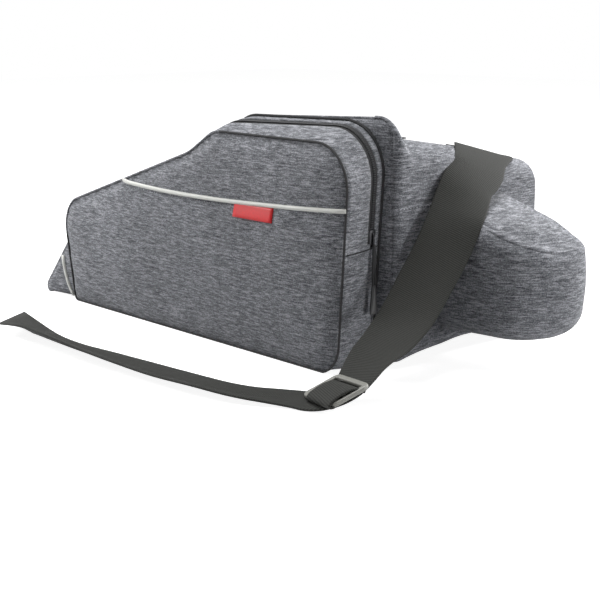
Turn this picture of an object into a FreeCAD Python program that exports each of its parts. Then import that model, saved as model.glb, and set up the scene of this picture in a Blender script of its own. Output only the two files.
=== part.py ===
# Saddle bag: a tweed bag with a zipped wedge pocket on its near side, a round pocket on its rear wall, a
# webbing strap with a tri-glide, and a quick-release adapter in a tunnel under its base.
# +X runs to the rear, +Y to the far side and +Z up. The bag rests on z = 0, and the origin is the centre
# of the body's footprint, on the adapter's underside. All sizes are in millimetres.
import FreeCAD, Part
import math
import os

Vector = FreeCAD.Vector

# ---- driving dimensions -------------------------------------------------------------------------------
SIZES = {
    "wall": 3.0,                 # padded fabric wall
    "body_half_width": 85.0,
    "lid_front_x": 72.0,
    "lid_rear_x": 184.0,
    "lid_near_y": -56.0,
    "lid_far_y": 74.0,
    "seam_gap": 4.0,             # width of the zip gap round the lid
    "waist_z": 119.0,            # seam across the rear wall
    "tunnel_half_width": 60.0,
    "tunnel_height": 23.0,
    "tunnel_front_x": -158.0,
    "floor_rear_x": 150.0,       # behind this the base panel rises to the rear wall
    "floor_rise": 9.0,
    "arch_radius": 420.0,        # lower edge of the rear wall
    "arch_rise": 14.0,
    "frame_front": 14.0,         # the top frame reaches this far past the lid
    "frame_rear": 8.0,
    "board_front_x": -150.0,
    "board_length": 355.0,
    "board_thick": 3.0,
    "pocket_front_y": -93.0,     # pocket panel's y at pocket_front_x
    "pocket_front_x": -160.0,
    "pocket_slope": -0.1032,     # the pocket widens to the rear
    "pocket_zip_y": -99.0,
    "zip_half_width": 5.0,
    "fold_front_x": 50.0,
    "fold_front_z": 168.0,
    "fold_rear_x": 208.0,
    "fold_rear_z": 88.0,
    "fold_gap": 0.8,
    "seam_width": 2.5,           # piping in the seam round the pocket's foot
    "piping_front_x": -75.0,     # reflective piping, its upper edge
    "piping_rear_x": 204.0,
    "piping_front_z": 117.8,
    "piping_rise": 3.2,
    "piping_sag": 3.6,
    "piping_height": 2.4,
    "piping_thick": 1.6,
    "label_front_x": 88.0,
    "label_rear_x": 134.0,
    "label_front_z": 113.3,
    "label_rear_z": 115.5,
    "label_height": 9.3,
    "label_thick": 0.9,
    "slider_length": 13.0,
    "puller_low_z": 62.0,        # where the puller's cord ends and its grip begins
    "puller_cord_length": 26.0,
    "puller_cord_radius": 1.1,
    "puller_grip_length": 20.0,
    "round_centre_x": 259.0,     # round pocket on the rear wall
    "round_radius": 45.0,
    "round_bottom_z": 22.0,
    "round_bottom_round": 22.0,
    "round_top_z": 121.0,        # at the rear wall
    "round_top_fall": 31.0,      # over the pocket's depth
    "round_hinge_x": 256.0,
    "strap_width": 40.0,
    "strap_thick": 1.8,
    "glide_length": 48.0,
    "glide_width": 30.0,
    "glide_bar": 4.2,
    "glide_thick": 2.6,
    "glide_x": 248.4,
    "glide_y": -187.4,
    "glide_z": 11.6,
    "glide_turn": -21.8,         # degrees, seen from above
    "glide_lean": 21.6,          # degrees, its edge by the bag is raised
    "glide_tip": -5.2,           # degrees, its rear end is raised
    "adapter_length": 140.0,
    "adapter_width": 90.0,
    "adapter_height": 23.0,
    "adapter_round": 6.0,
    "tube_radius": 5.0,          # rack tube held by the jaw
    "tube_x": -20.0,
    "tube_z": 7.5,
    "jaw_width": 24.0,
    "jaw_travel": 8.0,
    "jaw_length": 20.0,
    "jaw_height": 13.5,
    "fit_gap": 0.4,
    "lever_pin_x": -63.0,
    "lever_pin_z": 10.0,
    "lever_pin_radius": 2.0,
    "lever_root_radius": 5.0,
    "lever_length": 62.0,
    "lever_width": 44.0,
    "lever_thick": 7.0,
    "screw_radius": 2.0,
    "screw_head_radius": 4.0,
    "screw_head_height": 3.0,
    "screw_x": 52.0,
    "screw_y": 34.0,
}

# Corners of each outline, clockwise from the front foot: name, x, z and the radius of the rounding.
OUTLINES = {
    "body": [
        ("nose", -219, 0, 9),
        ("throat", -173, 50, 30),
        ("brow", -160, 88, 30),
        ("saddle", 20, 146, 60),
        ("crown", 78, 181, 45),
        ("tail", 212, 185.5, 19),
        ("heel", 212, 0, 8),
    ],
    "panel": [
        ("toe", -160, 0, 8),
        ("brow", -177, 86, 28),
        ("saddle", 20, 147, 70),
        ("crown", 52, 165.5, 28),
        ("corner", 208, 165, 32),
        ("heel", 196, 0, 16),
    ],
    "base": [
        ("toe", -160, 0, 8),
        ("brow", -176, 84, 28),
        ("saddle", 20, 150, 70),
        ("crown", 62, 176, 30),
        ("corner", 201, 178, 36),
        ("heel", 188, 0, 16),
    ],
}

# The share of the near wall's height that the body keeps at each y: a raised rim, then a falling top.
HEIGHT_SHARES = [(-85, 1.0), (-78, 0.985), (-66, 0.895), (0, 0.838), (85, 0.752)]

doc = FreeCAD.newDocument("saddle_bag")
sheet = doc.addObject("Spreadsheet::Sheet", "dims")
cells = dict(SIZES)
for outline, corners in OUTLINES.items():
    for name, x, z, radius in corners:
        cells[f"{outline}_{name}_x"] = x
        cells[f"{outline}_{name}_z"] = z
        cells[f"{outline}_{name}_round"] = radius
for row, (alias, value) in enumerate(cells.items(), 1):
    sheet.set(f"A{row}", alias)
    sheet.set(f"B{row}", str(value))
    sheet.setAlias(f"B{row}", alias)
doc.recompute()


def dim(alias):
    return float(getattr(sheet, alias))


def outline_corners(outline):
    return [tuple(dim(f"{outline}_{name}_{key}") for key in ("x", "z", "round"))
            for name, *_ in OUTLINES[outline]]


WALL = dim("wall")
HALF = dim("body_half_width")
NODES = []


# ---- outlines and cutting tools -----------------------------------------------------------------------
def inset(corners, depth):
    """The outline moved inwards by depth, with its roundings kept concentric."""
    moved = []
    count = len(corners)
    for i, (x, z, radius) in enumerate(corners):
        before = Vector(x - corners[i - 1][0], z - corners[i - 1][1]).normalize()
        after = Vector(corners[(i + 1) % count][0] - x, corners[(i + 1) % count][1] - z).normalize()
        turn = before.x * after.y - before.y * after.x
        inward = Vector(before.y + after.y, -before.x - after.x).normalize()
        reach = depth / (inward.x * before.y - inward.y * before.x)
        kept = radius - depth if turn < 0 else radius + depth
        moved.append((x + inward.x * reach, z + inward.y * reach, max(kept, 0.5)))
    return moved


def rounded_wire(corners, place):
    """A closed wire of lines and tangent arcs; place turns (x, z) into a point in space."""
    count = len(corners)
    arcs = []
    for i, (x, z, radius) in enumerate(corners):
        corner = Vector(x, z)
        before = (corner - Vector(*corners[i - 1][:2])).normalize()
        after = (Vector(*corners[(i + 1) % count][:2]) - corner).normalize()
        half_turn = before.getAngle(after) / 2
        tangent = radius * math.tan(half_turn)
        bisector = (after - before).normalize()
        middle = corner + bisector * (radius / math.cos(half_turn) - radius)
        arcs.append((corner - before * tangent, middle, corner + after * tangent))
    edges = []
    for i, (start, middle, end) in enumerate(arcs):
        nxt = arcs[(i + 1) % count][0]
        edges.append(Part.Arc(*(place(p.x, p.y) for p in (start, middle, end))).toShape())
        edges.append(Part.LineSegment(place(end.x, end.y), place(nxt.x, nxt.y)).toShape())
    return Part.Wire(edges)


def block(x0, x1, y0, y1, z0, z1):
    return Part.makeBox(x1 - x0, y1 - y0, z1 - z0, Vector(x0, y0, z0))


def prism(points, along):
    """A polygon given as 3-D points, extruded along a vector."""
    return Part.Face(Part.makePolygon(points + [points[0]])).extrude(along)


def add_shape(label, shape, placement=None):
    """A sub-part whose shape is worked out here, then set at its placement."""
    feature = doc.addObject("Part::Feature", label)
    feature.Shape = shape.removeSplitter() if shape.ShapeType != "Compound" else shape
    feature.Placement = placement or FreeCAD.Placement()
    feature.Label = label
    NODES.append(feature)
    return feature


def bind(feature, **sizes):
    for name, expression in sizes.items():
        feature.setExpression(name.replace("_", "."), str(expression))
    return feature


def add_box(name, x, y, z, dx, dy, dz):
    """A Part::Box bound to the sheet: its low corner and its sizes are expressions."""
    made = doc.addObject("Part::Box", name)
    bind(made, Length=dx, Width=dy, Height=dz)
    return bind(made, Placement_Base_x=x, Placement_Base_y=y, Placement_Base_z=z)


def add_cylinder(name, x, y, z, radius, height, turn=None):
    """A Part::Cylinder bound to the sheet; turn is the rotation that lays it along its axis."""
    made = doc.addObject("Part::Cylinder", name)
    if turn:
        made.Placement = FreeCAD.Placement(Vector(), turn)
    bind(made, Radius=radius, Height=height)
    return bind(made, Placement_Base_x=x, Placement_Base_y=y, Placement_Base_z=z)


def add_cut(label, base, tools):
    """base less all the tools; the result is a sub-part."""
    joined = tools[0]
    if len(tools) > 1:
        joined = doc.addObject("Part::MultiFuse", label + "_tools")
        joined.Shapes = tools
    made = doc.addObject("Part::Cut", label)
    made.Base = base
    made.Tool = joined
    made.Label = label
    NODES.append(made)
    return made


def keep(feature, label):
    feature.Label = label
    NODES.append(feature)
    return feature


ALONG_Y = FreeCAD.Rotation(Vector(1, 0, 0), -90)


# ---- main body: a ruled shell, cut into its panels ----------------------------------------------------
def body_section(y, share, depth):
    """The body's outline at y, with its heights scaled by share and moved inwards by depth."""
    scaled = [(x, z * share, radius) for x, z, radius in outline_corners("body")]
    return rounded_wire(inset(scaled, depth), lambda x, z: Vector(x, y, z))


def body_volume(depth):
    """The body from its near to its far face, with its outline moved inwards by depth."""
    return Part.makeLoft([body_section(y, share, depth) for y, share in HEIGHT_SHARES], True, True)


def body_layer(outer, inner):
    """The body's skin between two depths, without its near and far walls."""
    edge = HALF - WALL
    return body_volume(outer).common(block(-300, 300, -edge, edge, -5, 250)).cut(body_volume(inner))


body_solid = body_volume(0)
skin = body_layer(0, WALL)
rear_inside = dim("body_tail_x") - WALL
lid_near = dim("lid_near_y")
lid_far = dim("lid_far_y")
lid_front = dim("lid_front_x")
lid_rear = dim("lid_rear_x")
gap = dim("seam_gap")
tunnel_front = dim("tunnel_front_x")
tunnel_half = dim("tunnel_half_width")
tunnel_top = dim("tunnel_height")
waist = dim("waist_z")

add_shape("main_wall_near", body_solid.common(block(-300, 300, -HALF, -HALF + WALL, -5, 250)))
add_shape("main_wall_far", body_solid.common(block(-300, 300, HALF - WALL, HALF, -5, 250)))

opening = block(lid_front - gap, lid_rear + gap, lid_near - gap, lid_far + gap, 60, 250)
frame_front_x = lid_front - dim("frame_front")
frame_rear_x = lid_rear + dim("frame_rear")
crown = skin.common(block(frame_front_x, frame_rear_x, -HALF, HALF, 60, 250))
add_shape("top_frame", crown.cut(opening))
add_shape("lid", skin.common(block(lid_front, lid_rear, lid_near, lid_far + gap - 1, 60, 250)))

below_frame = block(-300, frame_front_x, -HALF, HALF, -5, 250)
front = skin.common(below_frame).cut(block(tunnel_front - WALL, 300, -HALF, HALF, -5, WALL))
riser = block(tunnel_front - WALL, tunnel_front, -HALF + WALL, HALF - WALL, 0, tunnel_top + WALL)
add_shape("front_slope", front.fuse(riser))

behind_frame = skin.common(block(frame_rear_x, 300, -HALF, HALF, -5, 250))
arch_drop = dim("arch_rise") - dim("arch_radius")
arch = Part.makeCylinder(dim("arch_radius"), 40, Vector(190, 0, arch_drop), Vector(1, 0, 0))
rear_band = block(rear_inside, 300, -HALF, HALF, -5, waist)
add_shape("rear_wall_lower", behind_frame.common(rear_band).cut(arch))
add_shape("rear_wall_upper", behind_frame.common(block(frame_rear_x, 300, -HALF, HALF, waist, 250)))


def base_section(x, rise):
    """The base panel's section at x: a flange each side, raised by rise, and the tunnel between them."""
    outline = [(-HALF + WALL, rise), (-tunnel_half, rise), (-tunnel_half, tunnel_top),
               (tunnel_half, tunnel_top), (tunnel_half, rise), (HALF - WALL, rise),
               (HALF - WALL, rise + WALL), (tunnel_half + WALL, rise + WALL),
               (tunnel_half + WALL, tunnel_top + WALL), (-tunnel_half - WALL, tunnel_top + WALL),
               (-tunnel_half - WALL, rise + WALL), (-HALF + WALL, rise + WALL)]
    points = [Vector(x, y, z) for y, z in outline]
    return Part.makePolygon(points + [points[0]])


floor_rear = dim("floor_rear_x")
sections = [base_section(tunnel_front, 0), base_section(floor_rear, 0),
            base_section(rear_inside, dim("floor_rise"))]
base = Part.makeLoft(sections, True, True)
screw_places = [(sx * dim("screw_x"), sy * dim("screw_y")) for sx in (-1, 1) for sy in (-1, 1)]
screw_holes = [Part.makeCylinder(dim("screw_radius") + 0.2, 60, Vector(x, y, -10)) for x, y in screw_places]
add_shape("base_panel", base.cut(screw_holes))

# ---- lid zip ------------------------------------------------------------------------------------------
tape_layer = body_layer(0.6, 1.8)
tape_outer = block(lid_front - gap, lid_rear + gap, lid_near - gap, lid_far, 60, 250)
tape_middle = block(lid_front - gap / 2, lid_rear + gap / 2, lid_near - gap / 2, lid_far + 1, 60, 250)
tape_inner = block(lid_front, lid_rear, lid_near, lid_far + 1, 60, 250)
add_shape("lid_tape_frame", tape_layer.common(tape_outer).cut(tape_middle))
tape_clear = block(lid_front - gap / 2 + 0.5, lid_rear + gap / 2 - 0.5, lid_near - gap / 2 + 0.5, lid_far,
                   60, 250)
add_shape("lid_tape_moving", tape_layer.common(tape_clear).cut(tape_inner))

# ---- wedge pocket on the near side --------------------------------------------------------------------
def panel_y(x, depth=0.0):
    return dim("pocket_front_y") + (x - dim("pocket_front_x")) * dim("pocket_slope") + depth


def pocket_solid(depth):
    """The pocket's volume, moved inwards by depth at its panel and its sides."""
    panel = rounded_wire(inset(outline_corners("panel"), depth), lambda x, z: Vector(x, panel_y(x, depth), z))
    base = rounded_wire(inset(outline_corners("base"), depth), lambda x, z: Vector(x, -HALF, z))
    return Part.makeLoft([panel, base], True, True)


def before_panel(depth):
    """Everything in front of the plane that lies depth behind the panel's face."""
    plan = [Vector(-250, panel_y(-250, depth), -5), Vector(280, panel_y(280, depth), -5),
            Vector(280, -200, -5), Vector(-250, -200, -5)]
    return prism(plan, Vector(0, 0, 230))


def above_fold(offset):
    """The pocket's upper rear corner, above the fold line moved up by offset."""
    front = Vector(dim("fold_front_x"), 0, dim("fold_front_z"))
    rear = Vector(dim("fold_rear_x"), 0, dim("fold_rear_z"))
    along = (rear - front).normalize()
    up = Vector(-along.z, 0, along.x)
    low = front - along * 60 + up * offset
    high = rear + along * 60 + up * offset
    corners = [low, high, high + up * 200, low + up * 200]
    return prism([Vector(p.x, -200, p.z) for p in corners], Vector(0, 116, 0))


fold = dim("fold_gap") / 2
zip_y = dim("pocket_zip_y")
zip_half = dim("zip_half_width")
pocket = pocket_solid(0)
pocket_skin = pocket.cut(pocket_solid(WALL)).cut(before_panel(WALL))
panel = pocket.common(before_panel(WALL))
zip_front_x = dim("fold_front_x") - 4
corner_fixed = above_fold(-fold).common(block(zip_front_x, 260, -200, 0, 60, 250))
slider_low = dim("fold_rear_z") + 2
slider_high = slider_low + dim("slider_length")
corner_moving = above_fold(fold).common(block(zip_front_x + 2, 260, -200, 0, slider_high + 2, 250))
add_shape("pocket_panel", panel.cut(above_fold(-fold)))
add_shape("pocket_panel_flap", panel.common(above_fold(fold)))
gusset_moving = block(-250, 260, -200, zip_y - zip_half, -5, 250)
gusset_fixed = block(-250, 260, zip_y + zip_half, 0, -5, 250)
add_shape("pocket_gusset_flap", pocket_skin.common(above_fold(fold)).common(gusset_moving))
add_shape("pocket_gusset_rear", pocket_skin.common(corner_fixed).common(gusset_fixed))
below_zip = pocket_skin.cut(above_fold(-fold))
add_shape("pocket_gusset_front", below_zip.common(block(-250, zip_front_x + 40, -200, 0, 50, 250)))
add_shape("pocket_gusset_toe", below_zip.common(block(-250, -140, -200, 0, -5, 50)))
add_shape("pocket_floor", below_zip.common(block(-140, 150, -200, 0, -5, 50)))
add_shape("pocket_gusset_heel", below_zip.common(block(150, 260, -200, 0, -5, 250)))


def zip_band(depth_out, depth_in, low_y, high_y, zone):
    """A strip of the zip that follows the pocket's side between two depths."""
    band = pocket_solid(depth_out).cut(pocket_solid(depth_in)).cut(before_panel(WALL))
    return band.common(block(-250, 260, low_y, high_y, -5, 250)).common(zone)


add_shape("pocket_tape_fixed", zip_band(0.6, 1.8, zip_y + 0.9, zip_y + zip_half, corner_fixed))
add_shape("pocket_coil", zip_band(0.4, 2.0, zip_y - 0.3, zip_y + 0.9, corner_fixed))
add_shape("pocket_tape_flap", zip_band(0.6, 1.8, zip_y - zip_half, zip_y - 0.7, corner_moving))

# Piping sewn into the seam round the pocket's foot, and the reflective piping across its panel.
def flange(outline, low_y, high_y, width):
    outer = Part.Face(rounded_wire(inset(outline, -width), lambda x, z: Vector(x, low_y, z)))
    hole = Part.Face(rounded_wire(inset(outline, -0.15), lambda x, z: Vector(x, low_y, z)))
    ring = outer.cut(hole).extrude(Vector(0, high_y - low_y, 0))
    return ring.common(block(-250, 260, -200, 0, 9, 250)).cut(pocket_solid(-0.15)).cut(pocket)


seam = dim("seam_width")
add_shape("pocket_seam_piping", flange(outline_corners("base"), -HALF - seam, -HALF, seam))


def piping_z(x):
    """Height of the reflective piping's upper edge: it rises to the rear and sags in between."""
    share = (x - dim("piping_front_x")) / (dim("piping_rear_x") - dim("piping_front_x"))
    return dim("piping_front_z") + dim("piping_rise") * share - dim("piping_sag") * math.sin(math.pi * share ** 0.75)


def piping_strip(x0, x1):
    """A stretch of the reflective piping on the face of the pocket's panel."""
    xs = [x0 + (x1 - x0) * k / 10 for k in range(11)]
    upper = [Vector(x, panel_y(x), piping_z(x)) for x in xs]
    lower = [p - Vector(0, 0, dim("piping_height")) for p in reversed(upper)]
    return prism(upper + lower, Vector(0, -dim("piping_thick"), 0))


def fold_x(z):
    """Where the fold line crosses the height z on the panel."""
    share = (dim("fold_front_z") - z) / (dim("fold_front_z") - dim("fold_rear_z"))
    return dim("fold_front_x") + share * (dim("fold_rear_x") - dim("fold_front_x"))


split = fold_x(piping_z(140))
add_shape("pocket_piping", piping_strip(dim("piping_front_x"), split - 9))
add_shape("pocket_piping_flap", piping_strip(split + 5, dim("piping_rear_x")))
label_height = Vector(0, 0, dim("label_height"))
label_top = [Vector(x, panel_y(x), z) for x, z in ((dim("label_front_x"), dim("label_front_z")),
                                                   (dim("label_rear_x"), dim("label_rear_z")))]
label_low = [p - label_height for p in reversed(label_top)]
add_shape("label", prism(label_top + label_low, Vector(0, -dim("label_thick"), 0)))

# ---- sliders and pullers ------------------------------------------------------------------------------
side_lean = (dim("panel_corner_x") - dim("panel_heel_x")) / dim("panel_corner_z")


def side_x(z):
    """x of the pocket's rear side at the zip, at the height z."""
    share = (zip_y - panel_y(200)) / (-HALF - panel_y(200))
    panel_x = dim("panel_heel_x") + z * side_lean
    base_x = dim("base_heel_x") + z * (dim("base_corner_x") - dim("base_heel_x")) / dim("base_corner_z")
    return panel_x + share * (base_x - panel_x)


def leaning(low_z, high_z, inside, outside, low_y, high_y):
    """A block on the pocket's leaning rear side, from inside to outside of its face."""
    points = [Vector(side_x(low_z) + inside, low_y, low_z), Vector(side_x(low_z) + outside, low_y, low_z),
              Vector(side_x(high_z) + outside, low_y, high_z), Vector(side_x(high_z) + inside, low_y, high_z)]
    return prism(points, Vector(0, high_y - low_y, 0))


add_shape("pocket_slider", leaning(slider_low, slider_high, 0.7, 3.2, zip_y - 2.8, zip_y + 4.8))
cord_x = side_x(slider_low - 2) + 3.6
cord_y = zip_y + 1
puller_z = dim("puller_low_z")
grip_low = puller_z - dim("puller_grip_length")
add_shape("puller_cord", Part.makeCylinder(dim("puller_cord_radius"), dim("puller_cord_length"),
                                           Vector(cord_x, cord_y, puller_z)))
grip = [(-2.4, puller_z), (2.4, puller_z), (4.4, grip_low), (-4.4, grip_low)]
add_shape("puller_tab", prism([Vector(cord_x - 1.5, cord_y + y, z) for y, z in grip], Vector(3, 0, 0)))


def lid_z(x, y):
    """Height of the body's top at a place."""
    column = Part.makeLine(Vector(x, y, 60), Vector(x, y, 260)).common(body_solid)
    return column.BoundBox.ZMax


lid_slider_x = lid_rear - 2 * dim("slider_length")
lid_slider_y = lid_near - gap / 2
slider_z = lid_z(lid_slider_x, lid_slider_y - 4) + 0.9
add_shape("lid_slider", block(lid_slider_x, lid_slider_x + dim("slider_length"), lid_slider_y - 4, lid_slider_y + 4,
                              slider_z, slider_z + 2.6))
add_shape("lid_puller", block(lid_slider_x + 14, lid_slider_x + 36, lid_slider_y - 3, lid_slider_y + 3,
                              slider_z + 0.2, slider_z + 2.2))


# ---- round pocket on the rear wall --------------------------------------------------------------------
def round_solid(depth, bottom_z):
    """The round pocket's volume, moved inwards by depth, with its rounded foot."""
    radius = dim("round_radius") - depth
    centre = dim("round_centre_x")
    wall_x = dim("body_tail_x")
    box = block(wall_x, centre, -radius, radius, bottom_z, 140)
    rod = Part.makeCylinder(radius, 140 - bottom_z, Vector(centre, 0, bottom_z))
    solid = box.fuse(rod).removeSplitter()
    foot = [e for e in solid.Edges if e.BoundBox.ZMax < bottom_z + 0.1 and e.BoundBox.XMax > wall_x + 1]
    return solid.makeFillet(dim("round_bottom_round") - depth, foot)


def round_top(x):
    """Height of the round pocket's slanting top at x."""
    depth = dim("round_centre_x") + dim("round_radius") - dim("body_tail_x")
    return dim("round_top_z") - (x - dim("body_tail_x")) * dim("round_top_fall") / depth


def above_top(depth):
    """Everything above the plane that lies depth under the slanting top."""
    near = Vector(200, -60, round_top(200) - depth)
    out = Vector(320, -60, round_top(320) - depth)
    return prism([near, out, Vector(320, -60, 200), Vector(200, -60, 200)], Vector(0, 120, 0))


round_bottom = dim("round_bottom_z")
round_skin = round_solid(0, round_bottom).cut(round_solid(WALL, round_bottom + WALL))
round_walls = round_skin.cut(above_top(WALL + 0.4))
base_split = round_bottom + dim("round_bottom_round") + 6
add_shape("round_pocket_base", round_walls.common(block(200, 320, -60, 60, 0, base_split)))
add_shape("round_pocket_wall", round_walls.common(block(200, 320, -60, 60, base_split, 140)))
round_lid = round_solid(0, round_bottom).common(above_top(WALL)).cut(above_top(0))
hinge_x = dim("round_hinge_x")
add_shape("round_pocket_strip", round_lid.common(block(200, hinge_x - 0.5, -60, 60, 60, 140)))
add_shape("round_pocket_flap", round_lid.common(block(hinge_x + 0.5, 320, -60, 60, 60, 140)))

# ---- webbing strap ------------------------------------------------------------------------------------
# Each station: the centre of the webbing, the direction of its width and the share of its width there.
STATIONS = [
    ((200, 29.5, 150.9), (0.0, 0.984, -0.18), 1.8),
    ((215.2, 3.5, 144.6), (0.15, 0.965, -0.24), 1.35),
    ((225, -25.5, 135.5), (0.39, 0.86, -0.32), 1),
    ((232.2, -49, 121), (0.75, 0.60, -0.27), 1),
    ((235.8, -58.5, 109), (0.82, 0.57, -0.10), 1),
    ((236.8, -68, 84), (0.76, 0.62, -0.19), 1),
    ((236.5, -84, 61.8), (0.74, 0.52, -0.42), 1),
    ((238.5, -106, 46.2), (0.84, 0.28, -0.47), 1),
    ((242, -131.5, 29.8), (0.92, -0.03, -0.38), 1),
    ((245.5, -154, 19.2), (0.94, -0.25, -0.20), 1),
    ((249.5, -174, 11.3), (0.92, -0.37, 0.09), 1),
    ((247.5, -184, 6.6), (0.86, -0.50, 0.05), 1),
    ((240, -190.5, 3.0), (0.66, -0.75, 0), 1),
    ((226, -192.5, 1.8), (0.50, -0.86, 0), 1),
    ((208, -200, 2.2), (0.46, -0.88, 0.04), 1),
    ((188, -211.5, 3.4), (0.36, -0.92, 0.10), 1),
    ((160, -217.5, 4.8), (0.10, -0.98, 0.17), 1),
    ((118, -217.5, 4.3), (0.01, -0.985, 0.155), 1),
    ((72, -217.5, 5.5), (0.01, -0.976, 0.21), 1),
    ((28, -218, 7.1), (0.03, -0.96, 0.28), 1),
    ((-4, -218.5, 8.8), (-0.05, -0.93, 0.37), 1),
    ((-36, -214.5, 9.1), (-0.20, -0.90, 0.39), 1),
    ((-68, -207.5, 8.3), (-0.22, -0.92, 0.34), 1),
    ((-103, -198, 6.9), (-0.24, -0.93, 0.28), 1),
]
UNDER_GLIDE = 11                 # the station where the hanging run ends and the tail begins
strap_half = dim("strap_width") / 2
strap_thick = dim("strap_thick") / 2


def webbing_sections():
    """The webbing's cross-section at each station, square to its run."""
    sections = []
    last = len(STATIONS) - 1
    for i, (centre, width, share) in enumerate(STATIONS):
        here = Vector(*centre)
        ahead = Vector(*STATIONS[min(i + 1, last)][0])
        behind = Vector(*STATIONS[max(i - 1, 0)][0])
        along = (ahead - behind).normalize()
        across = Vector(*width)
        if share == 1:
            across = across - along * across.dot(along)
        across.normalize()
        face = along.cross(across).normalize()
        sides = [(1, 1), (-1, 1), (-1, -1), (1, -1), (1, 1)]
        points = [here + across * (a * strap_half * share) + face * (b * strap_thick) for a, b in sides]
        sections.append(Part.makePolygon(points))
    return sections


sections = webbing_sections()
patch = body_volume(-1.2).cut(body_volume(-0.02))
add_shape("strap_anchor", patch.common(block(192.5, 199.2, -8, 67, 120, 200)))
add_shape("strap_webbing", Part.makeLoft(sections[:UNDER_GLIDE + 1], True, True))
add_shape("strap_tail", Part.makeLoft(sections[UNDER_GLIDE:], True, True))

glide_half = dim("glide_length") / 2
glide_wide = dim("glide_width") / 2
bar = dim("glide_bar")
glide_thick = dim("glide_thick")
frame = block(-glide_half, glide_half, -glide_wide, glide_wide, -glide_thick / 2, glide_thick / 2)
slot = (2 * glide_wide - 3 * bar) / 2
for low in (-glide_wide + bar, bar / 2):
    frame = frame.cut(block(-glide_half + bar, glide_half - bar, low, low + slot, -9, 9))
glide_turn = FreeCAD.Rotation(Vector(0, 0, 1), dim("glide_turn"))
glide_tip = FreeCAD.Rotation(Vector(0, 1, 0), dim("glide_tip"))
glide_lean = FreeCAD.Rotation(Vector(1, 0, 0), dim("glide_lean"))
glide_place = Vector(dim("glide_x"), dim("glide_y"), dim("glide_z"))
add_shape("strap_glide", frame, FreeCAD.Placement(glide_place, glide_turn * glide_tip * glide_lean))

# ---- adapter under the base ---------------------------------------------------------------------------
length = "dims.adapter_length"
width = "dims.adapter_width"
housing_box = add_box("housing_box", f"-{length} / 2", f"-{width} / 2", "0", length, width,
                      "dims.adapter_height")
housing = doc.addObject("Part::Fillet", "housing_round")
housing.Base = housing_box
doc.recompute()
upright = [i + 1 for i, e in enumerate(housing_box.Shape.Edges) if e.BoundBox.ZLength > 20]
housing.Edges = [(i, dim("adapter_round"), dim("adapter_round")) for i in upright]
groove = add_box("tube_groove", "dims.tube_x - 11", f"-{width} / 2 - 1", "-1", "22", f"{width} + 2",
                 "dims.jaw_height + 1 + dims.fit_gap")
jaw_slot = add_box("jaw_slot", "dims.tube_x - dims.jaw_length - dims.jaw_travel - 2",
                   "-dims.jaw_width / 2 - dims.fit_gap", "-1",
                   "dims.jaw_length + dims.jaw_travel", "dims.jaw_width + 2 * dims.fit_gap",
                   "dims.jaw_height + 1 + dims.fit_gap")
lever_notch = add_box("lever_notch", f"-{length} / 2 - 1", "-dims.lever_width / 2 - dims.fit_gap", "-1",
                      "16", "dims.lever_width + 2 * dims.fit_gap", "20")
pin_hole = add_cylinder("pin_hole", "dims.lever_pin_x", f"-{width} / 2 - 1", "dims.lever_pin_z",
                        "dims.lever_pin_radius", f"{width} + 2", ALONG_Y)
housing_tools = [groove, jaw_slot, lever_notch, pin_hole]
for i, (sx, sy) in enumerate([(-1, -1), (-1, 1), (1, -1), (1, 1)]):
    place = (f"{sx} * dims.screw_x", f"{sy} * dims.screw_y")
    housing_tools.append(add_cylinder(f"screw_hole_{i}", *place, "-1", "dims.screw_radius + 0.2", "40"))
    housing_tools.append(add_cylinder(f"screw_bore_{i}", *place, "-1", "dims.screw_head_radius + 0.3",
                                      "dims.screw_head_height + 7"))
add_cut("adapter_housing", housing, housing_tools)

hook_box = add_box("hook_box", "dims.tube_x + 0.4", "-dims.jaw_width / 2", "0", "10.6", "dims.jaw_width",
                   "dims.jaw_height")
tube_hole = add_cylinder("tube_hole", "dims.tube_x", "-50", "dims.tube_z", "dims.tube_radius", "100", ALONG_Y)
add_cut("adapter_hook", hook_box, [tube_hole])
jaw_box = add_box("jaw_box", "dims.tube_x - 0.4 - dims.jaw_length", "-dims.jaw_width / 2", "0",
                  "dims.jaw_length", "dims.jaw_width", "dims.jaw_height")
tube_hole_jaw = add_cylinder("tube_hole_jaw", "dims.tube_x", "-50", "dims.tube_z", "dims.tube_radius", "100",
                             ALONG_Y)
add_cut("adapter_jaw", jaw_box, [tube_hole_jaw])

pads = []
for side in (-1, 1):
    pads.append(block(dim("tube_x") - 10.5, dim("tube_x") + 10.5, side * 29 - 9, side * 29 + 9,
                      dim("tube_z") + dim("tube_radius") + 0.1, dim("jaw_height") + dim("fit_gap")))
add_shape("grip_pads", Part.makeCompound(pads))

keep(add_cylinder("pin_rod", "dims.lever_pin_x", f"-{width} / 2", "dims.lever_pin_z",
                  "dims.lever_pin_radius", width, ALONG_Y), "lever_pin")

lever_root = add_cylinder("lever_root", "dims.lever_pin_x", "-dims.lever_width / 2", "dims.lever_pin_z",
                          "dims.lever_root_radius", "dims.lever_width", ALONG_Y)
lever_plate = add_box("lever_plate", "dims.lever_pin_x - dims.lever_length", "-dims.lever_width / 2",
                      "dims.lever_pin_z - dims.lever_thick / 2", "dims.lever_length", "dims.lever_width",
                      "dims.lever_thick")
lever_waist = []
for side in (-1, 1):
    lever_waist.append(add_cylinder(f"lever_waist_{(side + 1) // 2}",
                                    "dims.lever_pin_x - dims.lever_length / 2",
                                    f"{side} * (dims.lever_width / 2 + 42)", "0", "50", "30"))
lever_solid = doc.addObject("Part::Fuse", "lever_solid")
lever_solid.Base = lever_root
lever_solid.Tool = lever_plate
lever_bore = add_cylinder("lever_bore", "dims.lever_pin_x", "-40", "dims.lever_pin_z",
                          "dims.lever_pin_radius + 0.08", "80", ALONG_Y)
add_cut("lever", lever_solid, lever_waist + [lever_bore])

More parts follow.
